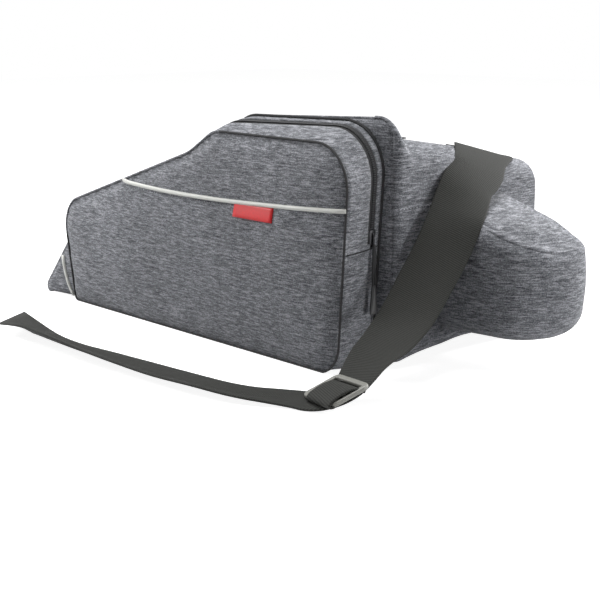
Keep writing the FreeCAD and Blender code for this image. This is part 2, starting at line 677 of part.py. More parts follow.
board_box = add_box("board_box", "dims.board_front_x", "-dims.tunnel_half_width",
                    "dims.tunnel_height + dims.wall", "dims.board_length", "2 * dims.tunnel_half_width",
                    "dims.board_thick")
board_holes = []
for i, (sx, sy) in enumerate([(-1, -1), (-1, 1), (1, -1), (1, 1)]):
    board_holes.append(add_cylinder(f"board_hole_{i}", f"{sx} * dims.screw_x", f"{sy} * dims.screw_y", "0",
                                    "dims.screw_radius + 0.2", "60"))
add_cut("base_board", board_box, board_holes)

screws = []
for x, y in screw_places:
    head_z = dim("screw_head_height") + 3
    head = Part.makeCylinder(dim("screw_head_radius"), dim("screw_head_height"), Vector(x, y, head_z))
    shank_top = dim("tunnel_height") + WALL + dim("board_thick")
    shank = Part.makeCylinder(dim("screw_radius"), shank_top - head_z, Vector(x, y, head_z))
    screws.append(head.fuse(shank))
add_shape("adapter_screws", Part.makeCompound(screws))

# ---- check every object, then write each sub-part -----------------------------------------------------
doc.recompute()
for item in doc.Objects:
    if "Invalid" in item.State or "Error" in item.State:
        raise RuntimeError(f"{item.Label} failed: {item.State}")
for node in NODES:
    shape = node.Shape
    if shape.isNull() or not shape.isValid() or not shape.Solids:
        raise RuntimeError(f"{node.Label} has no valid solid")
    print(f"{node.Label:22s} solids {len(shape.Solids)} volume {shape.Volume:10.1f}")
os.makedirs("parts", exist_ok=True)
for node in NODES:
    node.Shape.exportStep(f"parts/{node.Label}.step")
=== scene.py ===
import math
from contextlib import contextmanager

import bmesh
import bpy
import numpy as np
from bpy.props import FloatProperty, PointerProperty, StringProperty
from mathutils import Matrix, Vector


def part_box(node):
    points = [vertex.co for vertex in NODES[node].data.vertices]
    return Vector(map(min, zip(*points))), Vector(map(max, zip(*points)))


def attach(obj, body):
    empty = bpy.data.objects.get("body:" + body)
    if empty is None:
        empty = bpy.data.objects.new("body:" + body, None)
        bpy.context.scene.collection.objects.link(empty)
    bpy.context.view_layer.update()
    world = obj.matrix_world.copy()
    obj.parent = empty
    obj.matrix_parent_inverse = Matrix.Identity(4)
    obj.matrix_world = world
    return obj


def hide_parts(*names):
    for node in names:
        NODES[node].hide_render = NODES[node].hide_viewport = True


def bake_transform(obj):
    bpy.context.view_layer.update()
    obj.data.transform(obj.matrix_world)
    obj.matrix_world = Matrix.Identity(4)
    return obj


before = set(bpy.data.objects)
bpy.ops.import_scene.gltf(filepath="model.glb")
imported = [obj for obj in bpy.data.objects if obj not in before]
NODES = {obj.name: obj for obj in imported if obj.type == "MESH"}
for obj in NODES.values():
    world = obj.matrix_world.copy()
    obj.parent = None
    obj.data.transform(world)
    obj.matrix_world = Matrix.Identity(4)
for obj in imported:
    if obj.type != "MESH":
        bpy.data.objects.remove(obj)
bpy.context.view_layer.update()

bl_info = {
    "name": "Saddle Bag",
    "version": (1, 0, 0),
    "blender": (4, 5, 0),
    "location": "3D View > Sidebar > Saddle Bag",
    "description": "Builds a tweed bicycle bag with a wedge pocket, a round pocket, a strap and an adapter",
    "category": "Mesh",
}

MM = 0.001


def box_mm(node):
    low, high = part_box(node)
    return np.array(low) / MM, np.array(high) / MM


# ---- sizes in millimetres, the first of them taken from the frame -------------------------------------
NEAR_Y = box_mm("main_wall_near")[0][1]
FAR_Y = box_mm("main_wall_far")[1][1]
REAR_X = box_mm("main_wall_near")[1][0]
WAIST_Z = box_mm("rear_wall_upper")[0][2]
LID_LOW, LID_HIGH = box_mm("lid")
ROUND_HIGH = box_mm("round_pocket_wall")[1]
ROUND_BOTTOM = box_mm("round_pocket_base")[0][2]
ROUND_RADIUS = ROUND_HIGH[1]
ROUND_CENTRE_X = ROUND_HIGH[0] - ROUND_RADIUS

TOP_Z = 185.5                    # top of the body at its rear
TOP_ROUND = 19                   # rounding of its edge there
EDGE_ROUND = 5.0                 # rounding of the body's long edges
# Corners of the outlines, clockwise from the front foot: x, z and radius.
BODY = [(-229, -4, 9), (-184, 52, 30), (-160, 88, 30), (20, 146, 60), (78, 181, 45),
        (REAR_X, TOP_Z, TOP_ROUND), (REAR_X, 0, 8)]
PANEL = [(-160, 0, 8), (-177, 86, 28), (20, 147, 70), (52, 165.5, 28), (208, 165, 32), (196, 0, 24)]
FOOT = [(-160, 0, 8), (-176, 84, 28), (20, 150, 70), (62, 176, 30), (201, 178, 36), (188, 0, 16)]
ARC_STEPS = 10                   # steps of each corner's arc
# The share of the near wall's height that the body keeps at each y: a raised rim, then a falling top.
HEIGHT_SHARES = [(-85, 1.0), (-81.5, 0.975), (-71, 0.895), (0, 0.838), (85, 0.752)]
ARCH_RADIUS = 420                # the rear wall's lower edge
ARCH_RISE = 14
PANEL_FRONT = (-160, -93)        # x and y where the wedge pocket's panel starts
PANEL_SLOPE = -0.1032            # how fast it leans out towards the rear
ZIP_Y = -99
ZIP_HALF = 5.0
FOLD_FRONT = (50, 168)           # x and z of the ends of the flap's fold
FOLD_REAR = (208, 88)
PIPING_X = (-75, 205)            # ends of the reflective piping
PIPING_Z = 116.6                 # its height at the front end
PIPING_RISE = 3.2                # from there to the rear end
PIPING_SAG = 3.6

# The strap's route: the centre of the webbing, the direction of its width and its share of the width.
STATIONS = [
    ((200, 29.5, 150), (0.07, 0.98, -0.24), 1.8),
    ((214, 7.9, 145.8), (0.14, 0.96, -0.25), 1.4),
    ((225, -20.4, 134.2), (0.41, 0.86, -0.30), 1),
    ((232.2, -39.5, 118.2), (0.76, 0.60, -0.26), 1),
    ((235.8, -50.5, 108), (0.83, 0.57, -0.09), 1),
    ((236.8, -65.3, 87.5), (0.85, 0.62, -0.07), 1),
    ((236.5, -83.9, 66.9), (0.92, 0.52, -0.18), 1),
    ((238.5, -102.7, 48.5), (0.95, 0.28, -0.27), 1),
    ((242, -127.9, 33.7), (0.96, -0.03, -0.20), 1),
    ((245.5, -151.8, 25.5), (0.94, -0.25, -0.04), 1),
    ((249.5, -174, 11.3), (0.92, -0.37, 0.09), 1),
    ((247.5, -184, 6.6), (0.86, -0.50, 0.05), 1),
    ((240, -190.5, 3.0), (0.66, -0.75, 0), 1),
    ((226, -192.5, 1.8), (0.50, -0.86, 0), 1),
    ((208, -200, 2.2), (0.46, -0.88, 0.04), 1),
    ((188, -211.5, 3.4), (0.36, -0.92, 0.10), 1),
    ((160, -217.5, 4.8), (0.10, -0.98, 0.17), 1),
    ((118, -217.5, 4.3), (0.01, -0.985, 0.155), 1),
    ((72, -217.5, 5.5), (0.01, -0.976, 0.21), 1),
    ((28, -218, 7.1), (0.03, -0.96, 0.28), 1),
    ((-4, -218.5, 8.8), (-0.05, -0.93, 0.37), 1),
    ((-36, -214.5, 9.1), (-0.20, -0.90, 0.39), 1),
    ((-68, -207.5, 8.3), (-0.22, -0.92, 0.34), 1),
    ((-133, -190, 6.9), (-0.24, -0.93, 0.08), 1),
]


# ---- properties ---------------------------------------------------------------------------------------
def length_property(name, description, default, unit="LENGTH"):
    return FloatProperty(name=name, description=description, default=default, unit=unit)


def colour_property(name, description, default):
    return StringProperty(name=name, description=description, default=default)


class BagSizes(bpy.types.PropertyGroup):
    webbing_width: length_property("Webbing width", "Width of the strap", 0.040)
    webbing_thick: length_property("Webbing thickness", "Thickness of the strap", 0.0018)
    fabric_thick: length_property("Fabric thickness", "Thickness of the lined tweed", 0.0024)
    piping_radius: length_property("Piping radius", "Radius of the piping in the seams", 0.0009)
    stitch_pitch: length_property("Stitch pitch", "Distance from stitch to stitch", 0.0034)
    tooth_pitch: length_property("Tooth pitch", "Distance from tooth to tooth of the zips", 0.0016)
    camera_focal: length_property("Focal length", "Focal length of the camera", 84.0, "CAMERA")


class BagColours(bpy.types.PropertyGroup):
    tweed_dark: colour_property("Tweed dark", "Dark yarn of the tweed", "3c3d42")
    tweed_light: colour_property("Tweed light", "Light yarn of the tweed", "a9aab0")
    webbing: colour_property("Webbing", "Yarn of the strap", "1c1d1a")
    binding: colour_property("Binding", "Piping and zip tape", "161618")
    reflective: colour_property("Reflective piping", "Pale piping", "d2d3ce")
    label: colour_property("Label", "Rubber label", "d2000a")
    plastic: colour_property("Black plastic", "Adapter and zip pullers", "1b1b1d")
    glide: colour_property("Glide", "Tri-glide on the strap", "85857f")


def sizes():
    return bpy.context.scene.saddle_bag_sizes


def colours():
    return bpy.context.scene.saddle_bag_colours


# ---- materials ----------------------------------------------------------------------------------------
def linear(hex_colour):
    """An sRGB hex colour as linear RGBA."""
    parts = [int(hex_colour[i:i + 2], 16) / 255 for i in (0, 2, 4)]
    return [p / 12.92 if p <= 0.04045 else ((p + 0.055) / 1.055) ** 2.4 for p in parts] + [1.0]


def fill(tree, node, inputs):
    """Fills a node's inputs with values or links; a node stands for its first output."""
    for name, value in inputs.items():
        if isinstance(value, bpy.types.Node):
            value = value.outputs[0]
        if isinstance(value, bpy.types.NodeSocket):
            tree.links.new(value, node.inputs[name])
        else:
            node.inputs[name].default_value = value


def add_node(tree, kind, inputs=None, **settings):
    """Adds a node, sets its settings and fills its inputs."""
    node = tree.nodes.new(kind)
    for name, value in settings.items():
        setattr(node, name, value)
    fill(tree, node, inputs or {})
    return node


def new_material(name):
    """A material with a Principled shader; returns it, its tree and the shader."""
    material = bpy.data.materials.new(name)
    material.use_nodes = True
    tree = material.node_tree
    return material, tree, tree.nodes["Principled BSDF"]


def ramp(tree, factor, stops):
    node = add_node(tree, "ShaderNodeValToRGB", {"Fac": factor})
    while len(node.color_ramp.elements) < len(stops):
        node.color_ramp.elements.new(0.5)
    for element, (position, colour) in zip(node.color_ramp.elements, stops):
        element.position = position
        element.color = colour
    return node


def noise(tree, place, size_mm, detail):
    """Noise with features of about the given size."""
    return add_node(tree, "ShaderNodeTexNoise", {"Vector": place, "Scale": 1 / (size_mm * MM),
                                                 "Detail": detail})


def mix(tree, factor, first, second):
    return add_node(tree, "ShaderNodeMix", {"Factor": factor, "A": first, "B": second})


def blend_hex(first, second, share):
    a, b = ([int(colour[i:i + 2], 16) for i in (0, 2, 4)] for colour in (first, second))
    return "".join(f"{round(x + (y - x) * share):02x}" for x, y in zip(a, b))


def dress(tree, shader, height, strength, bump_mm, inputs):
    """Fills a shader's inputs and raises its surface by a height."""
    bump = add_node(tree, "ShaderNodeBump", {"Height": height, "Strength": strength,
                                             "Distance": bump_mm * MM})
    fill(tree, shader, {**inputs, "Normal": bump})


def tweed(name, slub):
    """Melange tweed, woven from dark and light yarn: long slubs run along the weft, with fine flecks."""
    dark, light = colours().tweed_dark, colours().tweed_light
    material, tree, shader = new_material(name)
    place = add_node(tree, "ShaderNodeTexCoord").outputs["Object"]
    layers = []
    finer = [length * 0.45 for length in slub]
    for scale, detail, seed in ((slub, 2.0, 0.0), (finer, 1.0, 3.7), ((0.9, 0.9, 0.9), 1.0, 8.1)):
        moved = add_node(tree, "ShaderNodeMapping", {"Vector": place, "Location": (seed, seed, seed),
                                                     "Scale": [1 / (size * MM) for size in scale]})
        layers.append(add_node(tree, "ShaderNodeTexNoise", {"Vector": moved, "Scale": 1.0, "Detail": detail,
                                                            "Roughness": 0.6}))
    yarn = mix(tree, 0.33, mix(tree, 0.45, layers[0], layers[1]), layers[2])
    colour = ramp(tree, yarn, [(0.37, linear(dark)), (0.5, linear(blend_hex(dark, light, 0.5))),
                               (0.62, linear(light))])
    cloudy = add_node(tree, "ShaderNodeMapRange", {"Value": noise(tree, place, 70, 2.0), "From Min": 0.3,
                                                   "From Max": 0.7, "To Min": 0.9, "To Max": 1.08})
    tinted = add_node(tree, "ShaderNodeVectorMath", {0: colour, 1: cloudy}, operation="MULTIPLY")
    dress(tree, shader, yarn, 0.35, 0.5, {"Base Color": tinted, "Roughness": 0.92, "Specular IOR Level": 0.25,
                                          "Sheen Weight": 0.12, "Sheen Roughness": 0.5})
    return material


def webbing_cloth(name, hex_colour, pitch):
    """Polypropylene webbing: a diagonal twill of shiny flat yarn along the strap's own length."""
    material, tree, shader = new_material(name)
    uv = add_node(tree, "ShaderNodeUVMap", uv_map="UVMap").outputs["UV"]
    turned = add_node(tree, "ShaderNodeVectorRotate", {"Vector": uv, "Angle": math.radians(8)},
                      rotation_type="Z_AXIS")
    # One wave of the texture is 0.314 of its scaled length.
    twill = add_node(tree, "ShaderNodeTexWave", {"Vector": turned, "Scale": 0.314 / (pitch * MM),
                                                 "Distortion": 0.8, "Detail": 1.0})
    weave = mix(tree, 0.4, twill.outputs["Fac"], noise(tree, uv, 1.1, 1.0))
    colour = ramp(tree, weave, [(0.2, linear(blend_hex(hex_colour, "000000", 0.3))),
                                (0.85, linear(blend_hex(hex_colour, "ffffff", 0.1)))])
    dress(tree, shader, weave, 0.5, 0.4, {"Base Color": colour, "Roughness": 0.75,
                                          "Specular IOR Level": 0.25})
    return material


def grained(name, hex_colour, roughness, grain_mm, bump_mm, metallic=0.0, spread=0.12):
    """A surface of one colour with a fine grain: moulded plastic, rubber, coated yarn or drawn metal."""
    material, tree, shader = new_material(name)
    place = add_node(tree, "ShaderNodeTexCoord").outputs["Object"]
    grain = noise(tree, place, grain_mm, 2.0)
    colour = ramp(tree, grain, [(0.3, linear(blend_hex(hex_colour, "000000", spread))),
                                (0.7, linear(blend_hex(hex_colour, "ffffff", spread / 2)))])
    rough = add_node(tree, "ShaderNodeMapRange", {"Value": grain, "To Min": roughness - 0.06,
                                                  "To Max": roughness + 0.06})
    dress(tree, shader, grain, 0.4, bump_mm, {"Base Color": colour, "Metallic": metallic, "Roughness": rough})
    return material


def seen_directly(tree):
    """1 for rays from the camera, from gloss or through glass, and 0 for the light that falls on things."""
    path = add_node(tree, "ShaderNodeLightPath").outputs
    seen = path["Is Camera Ray"]
    for ray in ("Is Glossy Ray", "Is Transmission Ray"):
        seen = add_node(tree, "ShaderNodeMath", {0: seen, 1: path[ray]}, operation="MAXIMUM")
    return seen


MATERIALS = {}


def make_materials():
    palette = colours()
    MATERIALS.update({
        # Slubs 11 mm long and 1.2 mm high on upright walls; on the top they run along the bag.
        "tweed": tweed("melange_tweed_woven", (11, 11, 1.2)),
        "tweed_top": tweed("melange_tweed_woven_top", (11, 1.2, 3)),
        "webbing": webbing_cloth("polypropylene_webbing_twill", palette.webbing, 1.5),
        # Grosgrain and cord piping: matt black yarn with a fine rib.
        "binding": grained("grosgrain_binding_woven", palette.binding, 0.85, 0.8, 0.2),
        "lining": grained("coated_polyester_lining", "26262a", 0.75, 1.0, 0.15),
        # Glass-bead reflective tape looks pale grey by day.
        "reflective": grained("reflective_tape_beaded", palette.reflective, 0.45, 0.7, 0.05, spread=0.05),
        "label": grained("rubber_label_moulded", palette.label, 0.5, 1.5, 0.05, spread=0.06),
        "plastic": grained("nylon_plastic_moulded", palette.plastic, 0.45, 0.5, 0.05),
        "glide": grained("acetal_glide_moulded", palette.glide, 0.42, 0.6, 0.05, spread=0.08),
        "zip_metal": grained("zinc_slider_lacquered", "2b2b2e", 0.35, 0.6, 0.03, metallic=0.6),
        "steel": grained("steel_pin_zinc_plated", "b9bbbd", 0.3, 0.4, 0.02, metallic=1.0),
        "pads": grained("rubber_pads_moulded", "b3161a", 0.65, 0.6, 0.1),
        "thread": grained("polyester_thread_twisted", "3a3b40", 0.7, 0.4, 0.05),
        "coil": grained("nylon_zip_coil", "232326", 0.5, 0.4, 0.03),
    })


# ---- outlines and mesh helpers ------------------------------------------------------------------------
def inset(corners, depth):
    """The outline moved inwards by depth, with its roundings kept concentric."""
    moved = []
    count = len(corners)
    for i, (x, z, radius) in enumerate(corners):
        before = Vector((x - corners[i - 1][0], z - corners[i - 1][1])).normalized()
        after = Vector((corners[(i + 1) % count][0] - x, corners[(i + 1) % count][1] - z)).normalized()
        turn = before.x * after.y - before.y * after.x
        inward = Vector((before.y + after.y, -before.x - after.x)).normalized()
        reach = depth / (inward.x * before.y - inward.y * before.x)
        kept = radius - depth if turn < 0 else radius + depth
        moved.append((x + inward.x * reach, z + inward.y * reach, max(kept, 0.5)))
    return moved


def run_counts(corners, step):
    count = len(corners)
    lengths = [math.dist(corners[i][:2], corners[(i + 1) % count][:2]) for i in range(count)]
    return [max(2, round(length / step)) for length in lengths]


def outline_points(corners, counts):
    """Points along the outline: each corner's arc, then the straight run to the next corner."""
    count = len(corners)
    arcs = []
    for i, (x, z, radius) in enumerate(corners):
        corner = Vector((x, z))
        before = (corner - Vector(corners[i - 1][:2])).normalized()
        after = (Vector(corners[(i + 1) % count][:2]) - corner).normalized()
        turn = before.angle(after)
        tangent = radius * math.tan(turn / 2)
        centre = corner + (after - before).normalized() * radius / math.cos(turn / 2)
        start = corner - before * tangent - centre
        swing = math.copysign(turn, before.x * after.y - before.y * after.x)
        arc = []
        for k in range(ARC_STEPS + 1):
            a = swing * k / ARC_STEPS
            arc.append(centre + Vector((start.x * math.cos(a) - start.y * math.sin(a),
                                        start.x * math.sin(a) + start.y * math.cos(a))))
        arcs.append(arc)
    points = []
    for i, arc in enumerate(arcs):
        points += arc
        nxt = arcs[(i + 1) % count][0]
        points += [arc[-1].lerp(nxt, k / counts[i]) for k in range(1, counts[i])]
    return np.array([tuple(p) for p in points])


def outline_normals(points):
    """Outward normals of a clockwise closed outline."""
    along = np.roll(points, -1, axis=0) - np.roll(points, 1, axis=0)
    along /= np.linalg.norm(along, axis=1)[:, None]
    return np.stack([-along[:, 1], along[:, 0]], axis=1)


def corner_index(corner, counts):
    """Index in outline_points of the first point of a corner's arc."""
    return sum(counts[:corner]) + corner * ARC_STEPS


def new_object(name, mesh):
    made = bpy.data.objects.new(name, mesh)
    bpy.context.scene.collection.objects.link(made)
    return made


def mesh_object(name, points_mm, faces, material, uvs=None):
    mesh = bpy.data.meshes.new(name)
    mesh.from_pydata([tuple(p) for p in np.asarray(points_mm) * MM], [], [tuple(f) for f in faces])
    if uvs is not None:
        layer = mesh.uv_layers.new(name="UVMap")
        for loop in mesh.loops:
            layer.data[loop.index].uv = uvs[loop.vertex_index]
    mesh.materials.append(MATERIALS[material])
    mesh.shade_smooth()
    mesh.validate()
    return new_object(name, mesh)


def grid_faces(rows, columns, closed=False):
    """Quads of a grid of rows by columns of points; closed joins the last column to the first."""
    faces = []
    for r in range(rows - 1):
        for c in range(columns if closed else columns - 1):
            d = (c + 1) % columns
            faces.append((r * columns + c, r * columns + d, (r + 1) * columns + d, (r + 1) * columns + c))
    return faces


def tube_faces(rows, columns):
    """The wall of a tube, which is made of rings of points, and its two ends."""
    ends = [tuple(reversed(range(columns))), tuple(range((rows - 1) * columns, rows * columns))]
    return grid_faces(rows, columns, closed=True) + ends


def evaluated_mesh(holder):
    bpy.context.view_layer.update()
    return bpy.data.meshes.new_from_object(holder.evaluated_get(bpy.context.evaluated_depsgraph_get()))


def apply_modifiers(piece):
    mesh = evaluated_mesh(piece)
    old = piece.data
    piece.modifiers.clear()
    piece.data = mesh
    bpy.data.meshes.remove(old)
    mesh.name = piece.name
    return piece


@contextmanager
def edited(piece):
    """The piece's mesh, open for editing; it is written back at the end."""
    shape = bmesh.new()
    shape.from_mesh(piece.data)
    yield shape
    shape.to_mesh(piece.data)
    shape.free()


def outward_normals(piece):
    """Recalculates a closed piece's normals so that they point outwards."""
    with edited(piece) as shape:
        bmesh.ops.recalc_face_normals(shape, faces=shape.faces)
    return piece


def merge(piece, distance=0.00001):
    with edited(piece) as shape:
        bmesh.ops.remove_doubles(shape, verts=shape.verts, dist=distance)


def join(piece, other):
    """Adds another mesh to a piece of the same material."""
    with edited(piece) as shape:
        shape.from_mesh(other.data)
    bpy.data.objects.remove(other)
    return piece


def soften(piece, width, limit=35):
    """Bevels the edges that are sharper than the limit in degrees."""
    rounding = piece.modifiers.new("edges", "BEVEL")
    rounding.width = width
    rounding.segments = 2
    rounding.limit_method = "ANGLE"
    rounding.angle_limit = math.radians(limit)
    return apply_modifiers(piece)


def cloth(name, points, faces, material, outward, weld=0, thick=None):
    """A sheet that faces outward, a direction or a function of the place, with its thickness inside."""
    piece = mesh_object(name, points, faces, material)
    if weld:
        merge(piece, weld)
    look = outward if callable(outward) else lambda place: outward
    if sum(p.normal.dot(Vector(look(p.center))) * p.area for p in piece.data.polygons) < 0:
        piece.data.flip_normals()
    wall = piece.modifiers.new("thickness", "SOLIDIFY")
    wall.thickness = thick or sizes().fabric_thick
    wall.offset = -1.0
    wall.use_even_offset = False
    return apply_modifiers(piece)


def run_directions(line):
    along = np.gradient(line, axis=0)
    return along / np.linalg.norm(along, axis=1)[:, None]


def run_lengths(line):
    """The length of the line up to each of its points."""
    return np.concatenate([[0], np.cumsum(np.linalg.norm(np.diff(line, axis=0), axis=1))])


def eased(line, rounds):
    """The line with its inner points drawn towards their neighbours."""
    for _ in range(rounds):
        line[1:-1] = (line[:-2] + 2 * line[1:-1] + line[2:]) / 4
    return line


def tube(name, path_mm, radius_mm, material, sides=8):
    """A round tube through the path, with closed ends."""
    path = np.asarray(path_mm, float)
    along = run_directions(path)
    angles = np.arange(sides) * 2 * math.pi / sides
    rings = []
    side = np.cross(along[0], [0.13, 0.97, 0.2])
    for centre, forward in zip(path, along):
        side = side - forward * np.dot(side, forward)
        side /= np.linalg.norm(side)
        up = np.cross(forward, side)
        rings.append(centre + radius_mm * (np.cos(angles)[:, None] * side + np.sin(angles)[:, None] * up))
    return outward_normals(mesh_object(name, np.concatenate(rings), tube_faces(len(path), sides), material))


def rounded_rectangle(x0, x1, y0, y1, radius, steps=6):
    points = []
    for cx, cy, start in ((x1 - radius, y1 - radius, 0), (x0 + radius, y1 - radius, 90),
                          (x0 + radius, y0 + radius, 180), (x1 - radius, y0 + radius, 270)):
        for k in range(steps + 1):
            a = math.radians(start + 90 * k / steps)
            points.append((cx + radius * math.cos(a), cy + radius * math.sin(a)))
    return points


def rounded_plate(name, outlines, height, bevel, material, low_z):
    """A flat plate from closed outlines in millimetres, the later ones its holes, with rounded edges."""
    curve = bpy.data.curves.new(name, "CURVE")
    curve.dimensions = "2D"
    curve.fill_mode = "BOTH"
    for points in outlines:
        spline = curve.splines.new("POLY")
        spline.points.add(len(points) - 1)
        for point, (x, y) in zip(spline.points, points):
            point.co = (x * MM, y * MM, 0, 1)
        spline.use_cyclic_u = True
    curve.extrude = (height / 2 - bevel) * MM
    curve.bevel_depth = bevel * MM
    curve.bevel_resolution = 3
    curve.offset = -bevel * MM
    holder = new_object(name + "_curve", curve)
    mesh = evaluated_mesh(holder)
    bpy.data.objects.remove(holder)
    mesh.transform(Matrix.Translation((0, 0, (low_z + height / 2) * MM)))
    mesh.materials.clear()
    mesh.materials.append(MATERIALS[material])
    mesh.shade_smooth()
    mesh.name = name
    made = new_object(name, mesh)
    merge(made)
    return outward_normals(made)


def filled_sheet(points, step):
    """A flat sheet inside an outline, cut into a grid; returns points (x, z) and faces."""
    shape = bmesh.new()
    shape.faces.new([shape.verts.new((x, 0, z)) for x, z in points])
    low, high = points.min(axis=0), points.max(axis=0)
    for axis, normal in ((0, (1, 0, 0)), (1, (0, 0, 1))):
        cuts = int((high[axis] - low[axis]) / step)
        for k in range(1, cuts + 1):
            place = low[axis] + (high[axis] - low[axis]) * k / (cuts + 1)
            centre = (place, 0, 0) if axis == 0 else (0, 0, place)
            bmesh.ops.bisect_plane(shape, geom=shape.verts[:] + shape.edges[:] + shape.faces[:], dist=0.05,
                                   plane_co=centre, plane_no=normal)
    bmesh.ops.remove_doubles(shape, verts=shape.verts, dist=0.2)
    shape.verts.index_update()
    places = np.array([(v.co.x, v.co.z) for v in shape.verts])
    faces = [[v.index for v in f.verts] for f in shape.faces]
    shape.free()
    return places, faces


def edge_distance(places, outline):
    """Distance of each place from the outline."""
    a = outline
    b = np.roll(outline, -1, axis=0)
    ab = b - a
    best = np.full(len(places), 1e9)
    for start, run in zip(a, ab):
        t = np.clip(((places - start) @ run) / max(run @ run, 1e-9), 0, 1)
        best = np.minimum(best, np.linalg.norm(places - (start + t[:, None] * run), axis=1))
    return best


def swell(distance, reach):
    """A rounded rise from 0 at an edge to 1 at reach from it."""
    t = np.clip(distance / reach, 0, 1)
    return np.sqrt(np.clip(1 - (1 - t) ** 2, 0, 1))


def ripple(points, wavelength, seed):
    """Smooth unevenness between -1 and 1 that soft fabric shows, from a few seeded waves."""
    rng = np.random.default_rng(seed)
    points = np.asarray(points, float)
    total = np.zeros(len(points))
    for k in range(6):
        direction = rng.normal(size=points.shape[1])
        direction /= np.linalg.norm(direction)
        total += np.sin(points @ direction * 2 * math.pi / (wavelength * (0.7 + 0.6 * rng.random()))
                        + rng.random() * 7) / 6
    return total * 1.6


# ---- repeated things: stitches and zip teeth ----------------------------------------------------------
def repeat_tree(pivot):
    """Geometry nodes: small beads set along a path, turned with it about the pivot axis."""
    tree = bpy.data.node_groups.new("beads_along_path_" + pivot, "GeometryNodeTree")
    face = tree.interface
    face.new_socket("Path", in_out="INPUT", socket_type="NodeSocketGeometry")
    for name in ("Pitch", "Length", "Width", "Height"):
        face.new_socket(name, in_out="INPUT", socket_type="NodeSocketFloat")
    face.new_socket("Material", in_out="INPUT", socket_type="NodeSocketMaterial")
    face.new_socket("Beads", in_out="OUTPUT", socket_type="NodeSocketGeometry")
    given = add_node(tree, "NodeGroupInput").outputs
    curve = add_node(tree, "GeometryNodeMeshToCurve", {"Mesh": given["Path"]})
    spaced = add_node(tree, "GeometryNodeResampleCurve", {"Curve": curve, "Length": given["Pitch"]},
                      mode="LENGTH")
    bead = add_node(tree, "GeometryNodeMeshUVSphere", {"Segments": 8, "Rings": 5, "Radius": 0.5})
    turn = add_node(tree, "FunctionNodeAlignRotationToVector",
                    {"Vector": add_node(tree, "GeometryNodeInputTangent")}, axis="X", pivot_axis=pivot)
    scale = add_node(tree, "ShaderNodeCombineXYZ", {"X": given["Length"], "Y": given["Width"],
                                                    "Z": given["Height"]})
    placed = add_node(tree, "GeometryNodeInstanceOnPoints", {"Points": spaced, "Instance": bead,
                                                             "Rotation": turn, "Scale": scale})
    real = add_node(tree, "GeometryNodeRealizeInstances", {"Geometry": placed})
    smooth = add_node(tree, "GeometryNodeSetShadeSmooth", {"Geometry": real})
    dressed = add_node(tree, "GeometryNodeSetMaterial", {"Geometry": smooth, "Material": given["Material"]})
    add_node(tree, "NodeGroupOutput", {"Beads": dressed})
    return tree


TREES = {}


def beads(name, path_mm, pitch, size, material, pivot="AUTO"):
    """Beads of the given length, width and height along a path, as one plain mesh."""
    if pivot not in TREES:
        TREES[pivot] = repeat_tree(pivot)
    tree = TREES[pivot]
    mesh = bpy.data.meshes.new(name)
    edges = [(i, i + 1) for i in range(len(path_mm) - 1)]
    mesh.from_pydata([tuple(p) for p in np.asarray(path_mm) * MM], edges, [])
    made = new_object(name, mesh)
    modifier = made.modifiers.new("beads", "NODES")
    modifier.node_group = tree
    values = dict(zip(("Pitch", "Length", "Width", "Height", "Material"),
                      (pitch, *size, MATERIALS[material])))
    for item in tree.interface.items_tree:
        if item.name in values:
            modifier[item.identifier] = values[item.name]
    apply_modifiers(made)
    if not made.data.materials:
        made.data.materials.append(MATERIALS[material])
    return made


def stitches(name, path_mm, width):
    return beads(name, path_mm, sizes().stitch_pitch, (0.0021, width, width), "thread")


# ---- bodies, the pocket's fold and the piping's height ------------------------------------------------
def fasten(piece, slot, *nodes, body="bag"):
    """Rides a piece on its body and hides the nodes that it stands for; the slot is not used."""
    if nodes:
        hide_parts(*nodes)
    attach(piece, body)


def panel_y(x):
    return PANEL_FRONT[1] + (x - PANEL_FRONT[0]) * PANEL_SLOPE


def fold_blend(piece, slot, *nodes):
    """A piece on the pocket's fold between the bag and the flap: hides the nodes that it stands for and bakes
    the piece's place; the fold's line is worked out, but the piece is not bent over it.
    """
    if nodes:
        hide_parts(*nodes)
    front, rear = (np.array([x, panel_y(x), z]) for x, z in (FOLD_FRONT, FOLD_REAR))
    along = (rear - front) / np.linalg.norm(rear - front)
    up = np.array([-along[2], 0, along[0]])
    up /= np.linalg.norm(up)
    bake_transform(piece)


def piping_z(x):
    """Height of the reflective piping: it rises to the rear and sags in between."""
    share = np.clip((x - PIPING_X[0]) / (PIPING_X[1] - PIPING_X[0]), 0, 1)
    return PIPING_Z + PIPING_RISE * share - PIPING_SAG * np.sin(math.pi * share ** 0.75)


# ---- strap --------------------------------------------------------------------------------------------
CUT_REACH = 110                  # length of webbing that the slanting cut draws along


def strap_centre_line():
    """Points along the strap's smooth line: a NURBS spline with the route's stations as control points."""
    curve = bpy.data.curves.new("strap_route", "CURVE")
    curve.dimensions = "3D"
    spline = curve.splines.new("NURBS")
    spline.points.add(len(STATIONS) - 1)
    for point, (centre, _, _) in zip(spline.points, STATIONS):
        point.co = (*[v * MM for v in centre], 1)
    spline.order_u = 3
    spline.use_endpoint_u = True
    spline.resolution_u = 8
    holder = new_object("strap_route", curve)
    points = np.array([v.co[:] for v in evaluated_mesh(holder).vertices]) / MM
    bpy.data.objects.remove(holder)
    return points


def strap_widths(line):
    """Direction and share of the width at each point, read from the nearest stretch of the route."""
    centres, across, share = (np.array(column, float) for column in zip(*STATIONS))
    run = centres[1:] - centres[:-1]
    directions, shares = [], []
    for point in line:
        t = np.clip(np.sum((point - centres[:-1]) * run, axis=1) / np.sum(run * run, axis=1), 0, 1)
        k = int(np.argmin(np.linalg.norm(centres[:-1] + t[:, None] * run - point, axis=1)))
        directions.append(across[k] * (1 - t[k]) + across[k + 1] * t[k])
        shares.append(share[k] * (1 - t[k]) + share[k + 1] * t[k])
    return eased(np.array(directions), 6), np.array(shares)


